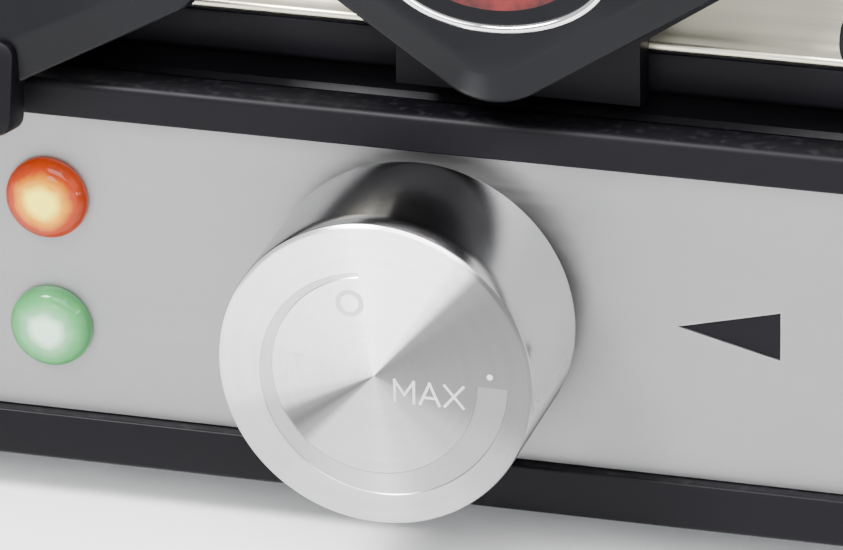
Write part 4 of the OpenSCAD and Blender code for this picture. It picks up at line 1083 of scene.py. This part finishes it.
class WAFFLE_OT_handle(bpy.types.Operator):
    """Shield handle with its rim, and the ringed oval inlay"""
    bl_idname = "waffle.handle"
    bl_label = "Handle"

    def execute(self, context):
        low, high = place("handle_shield")
        rows = shield_rows((high[0] - low[0]) / 2, HANDLE_HEIGHT, HANDLE_THICK, HANDLE_SLOPE, 1.2, 4.6)
        tip = place_tip("handle_shield", HANDLE_THICK)
        Shape().grid(on_shield(rows, HANDLE_X, tip), caps=(True, True)).piece(
            "handle_shield_rounded", "lid", "slate_plastic", ("handle_shield",), 35)
        self.inlay(context.scene.waffle_sizes.ring_wire / MM, tip)
        softened("handle_mount", 0.6)
        return {"FINISHED"}

    @staticmethod
    def inlay(wire, tip):
        """Ring: a half-buried round section along an ellipse. Inlay: an elliptic dome."""
        low, high = place("inlay_ring")
        a, b, up = (high[0] - low[0]) / 2, 10.0, 20.2
        along = np.linspace(0, TAU, 128, endpoint=False)
        around = np.linspace(0, TAU, 20, endpoint=False)
        line = np.stack([(a - wire) * np.cos(along), (b - wire) * np.sin(along)], -1)
        slope = np.stack([b * np.cos(along), a * np.sin(along)], -1)
        slope /= np.linalg.norm(slope, axis=-1, keepdims=True)
        out = wire * np.cos(around)[:, None, None] * slope[None]
        ring = np.concatenate([line[None] + out, np.broadcast_to((0.9 * wire * np.sin(around))[:, None, None],
                                                                   (20, 128, 1))], -1)
        ring[..., 1] += up
        ring[..., 2] -= 0.15
        Shape().grid(on_shield(ring, HANDLE_X, tip), round_rows=True).piece(
            "inlay_ring_round", "lid", "chrome_ring", ("inlay_ring",), 60)
        s = np.sin(quarter(90, 0, 18))
        s[-1] = 0.01
        dome = 2.0 * np.sqrt(1 - s ** 2) ** 1.15 - 1.2
        ra, rb = a - 1.9 * wire, b - 1.9 * wire
        grid = np.stack([ra * s[:, None] * np.cos(along), up + rb * s[:, None] * np.sin(along),
                         np.broadcast_to(dome[:, None], (18, 128))], -1)
        skirt = grid[:1].copy()
        skirt[..., 2] -= 1.5
        Shape().grid(on_shield(np.concatenate([skirt, grid]), HANDLE_X, tip), caps=(True, True)).piece(
            "inlay_dome", "lid", "garnet_inlay", ("inlay",), 60)


def place_tip(node, thickness):
    """Height of a shield's point: its node's lowest corner is the back edge of that point."""
    return place(node)[0][2] + thickness * math.sin(math.radians(LEAN))


class WAFFLE_OT_latches(bpy.types.Operator):
    """Two shield latches with their straps and knuckles"""
    bl_idname = "waffle.latches"
    bl_label = "Latches"

    def execute(self, context):
        tip = place_tip("handle_shield", HANDLE_THICK) - LATCH_DROP
        for node in ("latch_left", "latch_right"):
            low, high = place(node)
            middle = (low[0] + high[0]) / 2
            half = (high[0] - low[0]) / 2
            rows = shield_rows(half, LATCH_HEIGHT, LATCH_THICK, LATCH_SLOPE, 1.0, 5.2)
            shape = Shape()
            shape.grid(on_shield(rows, middle, tip), caps=(True, True))
            pin = next(j for j in frame["joints"] if j["child"] == node)["pos_m"]
            pin = np.array(pin) / MM
            profile = [(1.55, -7.0), (4.1, -7.0), (4.4, -6.7), (4.4, 6.7), (4.1, 7.0), (1.55, 7.0)]
            shape.grid(lathe(profile, (middle, pin[1], pin[2]), "x", 48), round_rows=True)
            web = np.array([(-6.5, 0.8, -3), (6.5, 0.8, -3), (6.5, 0.8, 3), (-6.5, 0.8, 3)], float)
            back = web.copy()
            web[:, 1] = FACE_Y - 3 - pin[1]
            back[:, 1] = -2.6
            shape.grid(np.stack([web, back]) + np.array((middle, pin[1], pin[2])), caps=(True, True))
            shape.piece(node + "_shield", node, "slate_plastic", (node,), 35)
            self.strap(middle, tip).piece(node + "_strap", node, "black_moulding", (), 35)
        softened("latch_mounts", 0.5)
        return {"FINISHED"}

    @staticmethod
    def strap(middle, tip):
        """Rounded bar down the front of the shield: loops of a rounded rectangle from back to front."""
        section = [(0.6, -5.0), (0.0, -4.4), (0.0, 0.7), (0.25, 1.2), (0.8, 1.45), (2.0, 1.5)]
        loops = []
        for inset, out in section:
            loops.append(shrunk(STRAP_WIDE, STRAP_TALL, inset, 2.2, (0.0, 1.55), out, arc=6, side=3))
        return Shape().grid(on_shield(np.stack(loops), middle, tip), caps=(True, True))


class WAFFLE_OT_plates(bpy.types.Operator):
    """Two cast baking plates with rounded pegs"""
    bl_idname = "waffle.plates"
    bl_label = "Baking plates"

    def execute(self, context):
        soft = context.scene.waffle_sizes.peg_round / MM
        for node, body, up in (("lower_plate", "base", 1.0), ("upper_plate", "lid", -1.0)):
            low, high = place(node)
            self.plate(node, body, low, high, up, soft)
        return {"FINISHED"}

    @staticmethod
    def plate(node, body, low, high, up, soft):
        """Height field: flat land, a cavity with drafted walls, pegs as smooth steps of the
        distance to their square outline, and a middle rib; a plain back closes the casting."""
        width, depth = high[0] - low[0], high[1] - low[1]
        x = np.linspace(-width / 2, width / 2, 253)
        y = np.linspace(-depth / 2, depth / 2, 209)
        gx, gy = np.meshgrid(x, y, indexing="ij")

        def step(distance, wide):
            """Smooth step that rises over a width as the distance grows."""
            t = np.clip(distance / wide + 0.5, 0, 1)
            return t * t * (3 - 2 * t)

        wall = np.minimum(width / 2 - 7 - abs(gx), depth / 2 - 7 - abs(gy))
        height = -9.0 * step(wall - 0.5, 2.0 * soft)
        pitch, peg = 17.0, 11.0
        px = (abs(gx) - 3.0) % pitch - pitch / 2
        py = gy % pitch - pitch / 2
        inside = (abs(gx) > 3.0) & (abs(gx) < 3.0 + 5 * pitch) & (abs(gy) < 4 * pitch)
        box = np.maximum(abs(px), abs(py)) - peg / 2
        corner = np.hypot(np.maximum(abs(px) - peg / 2 + 2, 0), np.maximum(abs(py) - peg / 2 + 2, 0)) - 2
        distance = np.where(box > -2, corner, box)
        height += np.where(inside, 6.0 * step(-distance, 1.6 * soft), 0.0)
        rib = (wall > 0) * 3.0 * step(1.5 - abs(gx), 1.2 * soft)
        height = np.maximum(height, np.minimum(height + rib, -6.0))
        face = high[2] if up > 0 else low[2]
        back = low[2] if up > 0 else high[2]
        middle_y = (low[1] + high[1]) / 2
        shape = Shape()
        front = np.stack([gx, gy + middle_y, face + up * height], -1)
        shape.grid(front, round_columns=False)
        ring = np.concatenate([front[:, 0], front[-1, 1:], front[-2::-1, -1], front[0, -2:0:-1]])
        lower = ring.copy()
        lower[:, 2] = back
        shape.grid(np.stack([ring, lower]), caps=(False, True))
        shape.piece(node + "_casting", body, "cast_plate", (node,), 45)


class WAFFLE_OT_rear(bpy.types.Operator):
    """Hinges, pins, thermostat nut, terminal block and cord clamp with rounded edges, and the cord bush"""
    bl_idname = "waffle.rear"
    bl_label = "Hinges and rear"

    def execute(self, context):
        roundings = {"hinge_brackets": 0.7, "lid_ears": 0.6, "hinge_pins": 0.3, "latch_pins": 0.2,
                     "thermostat_nut": 0.25, "terminal_block": 0.4, "cord_clamp": 0.5}
        for node, width in roundings.items():
            softened(node, width)
        low, high = place("cord_gland")
        centre = ((low[0] + high[0]) / 2, 0.0, (low[2] + high[2]) / 2)
        out, bore = (high[0] - low[0]) / 2, 3.6
        front, back = low[1], high[1]
        profile = [(bore, front + 0.4), (bore + 0.4, front), (5.5, front), (5.9, front + 0.4),
                   (5.9, back - 3.0), (out - 0.4, back - 3.0), (out, back - 2.6), (out - 0.2, back - 1.0),
                   (out - 1.4, back - 0.1), (out - 2.2, back), (bore + 0.8, back), (bore, back - 0.8)]
        Shape().grid(lathe(profile, centre), round_rows=True).piece(
            "cord_bush", "base", "foot_rubber", ("cord_gland",), 40)
        return {"FINISHED"}


class WAFFLE_OT_finishes(bpy.types.Operator):
    """Finishes of the nodes whose shapes stay as they are"""
    bl_idname = "waffle.finishes"
    bl_label = "Remaining finishes"

    def execute(self, context):
        for name, node in frame["nodes"].items():
            if node.hide_render:
                continue
            node.data.materials.clear()
            node.data.materials.append(finish_for(SLOT_OF[name]))
        return {"FINISHED"}


class WAFFLE_PT_panel(bpy.types.Panel):
    """Sidebar panel that lists the sizes, the colours and the operators"""
    bl_label = "Waffle iron"
    bl_idname = "WAFFLE_PT_panel"
    bl_space_type = "VIEW_3D"
    bl_region_type = "UI"
    bl_category = "Waffle iron"

    def draw(self, context):
        for holder in (context.scene.waffle_sizes, context.scene.waffle_colours):
            for label in holder.__annotations__:
                self.layout.prop(holder, label)
        for operator in OPERATORS:
            self.layout.operator(operator.bl_idname)


OPERATORS = (WAFFLE_OT_stage, WAFFLE_OT_knob, WAFFLE_OT_lamps, WAFFLE_OT_base, WAFFLE_OT_feet, WAFFLE_OT_lid,
             WAFFLE_OT_handle, WAFFLE_OT_latches, WAFFLE_OT_plates, WAFFLE_OT_rear, WAFFLE_OT_finishes)
CLASSES = (WaffleSizes, WaffleColours, *OPERATORS, WAFFLE_PT_panel)


def register():
    """Registers the classes and hangs the sizes and colours on the scene."""
    for kind in CLASSES:
        bpy.utils.register_class(kind)
    bpy.types.Scene.waffle_sizes = PointerProperty(type=WaffleSizes)
    bpy.types.Scene.waffle_colours = PointerProperty(type=WaffleColours)


def unregister():
    """Takes them away again."""
    del bpy.types.Scene.waffle_sizes
    del bpy.types.Scene.waffle_colours
    for kind in reversed(CLASSES):
        bpy.utils.unregister_class(kind)


def main():
    """Builds everything in order."""
    register()
    for operator in OPERATORS:
        group, name = operator.bl_idname.split(".")
        getattr(getattr(bpy.ops, group), name)()


if __name__ == "__main__":
    main()
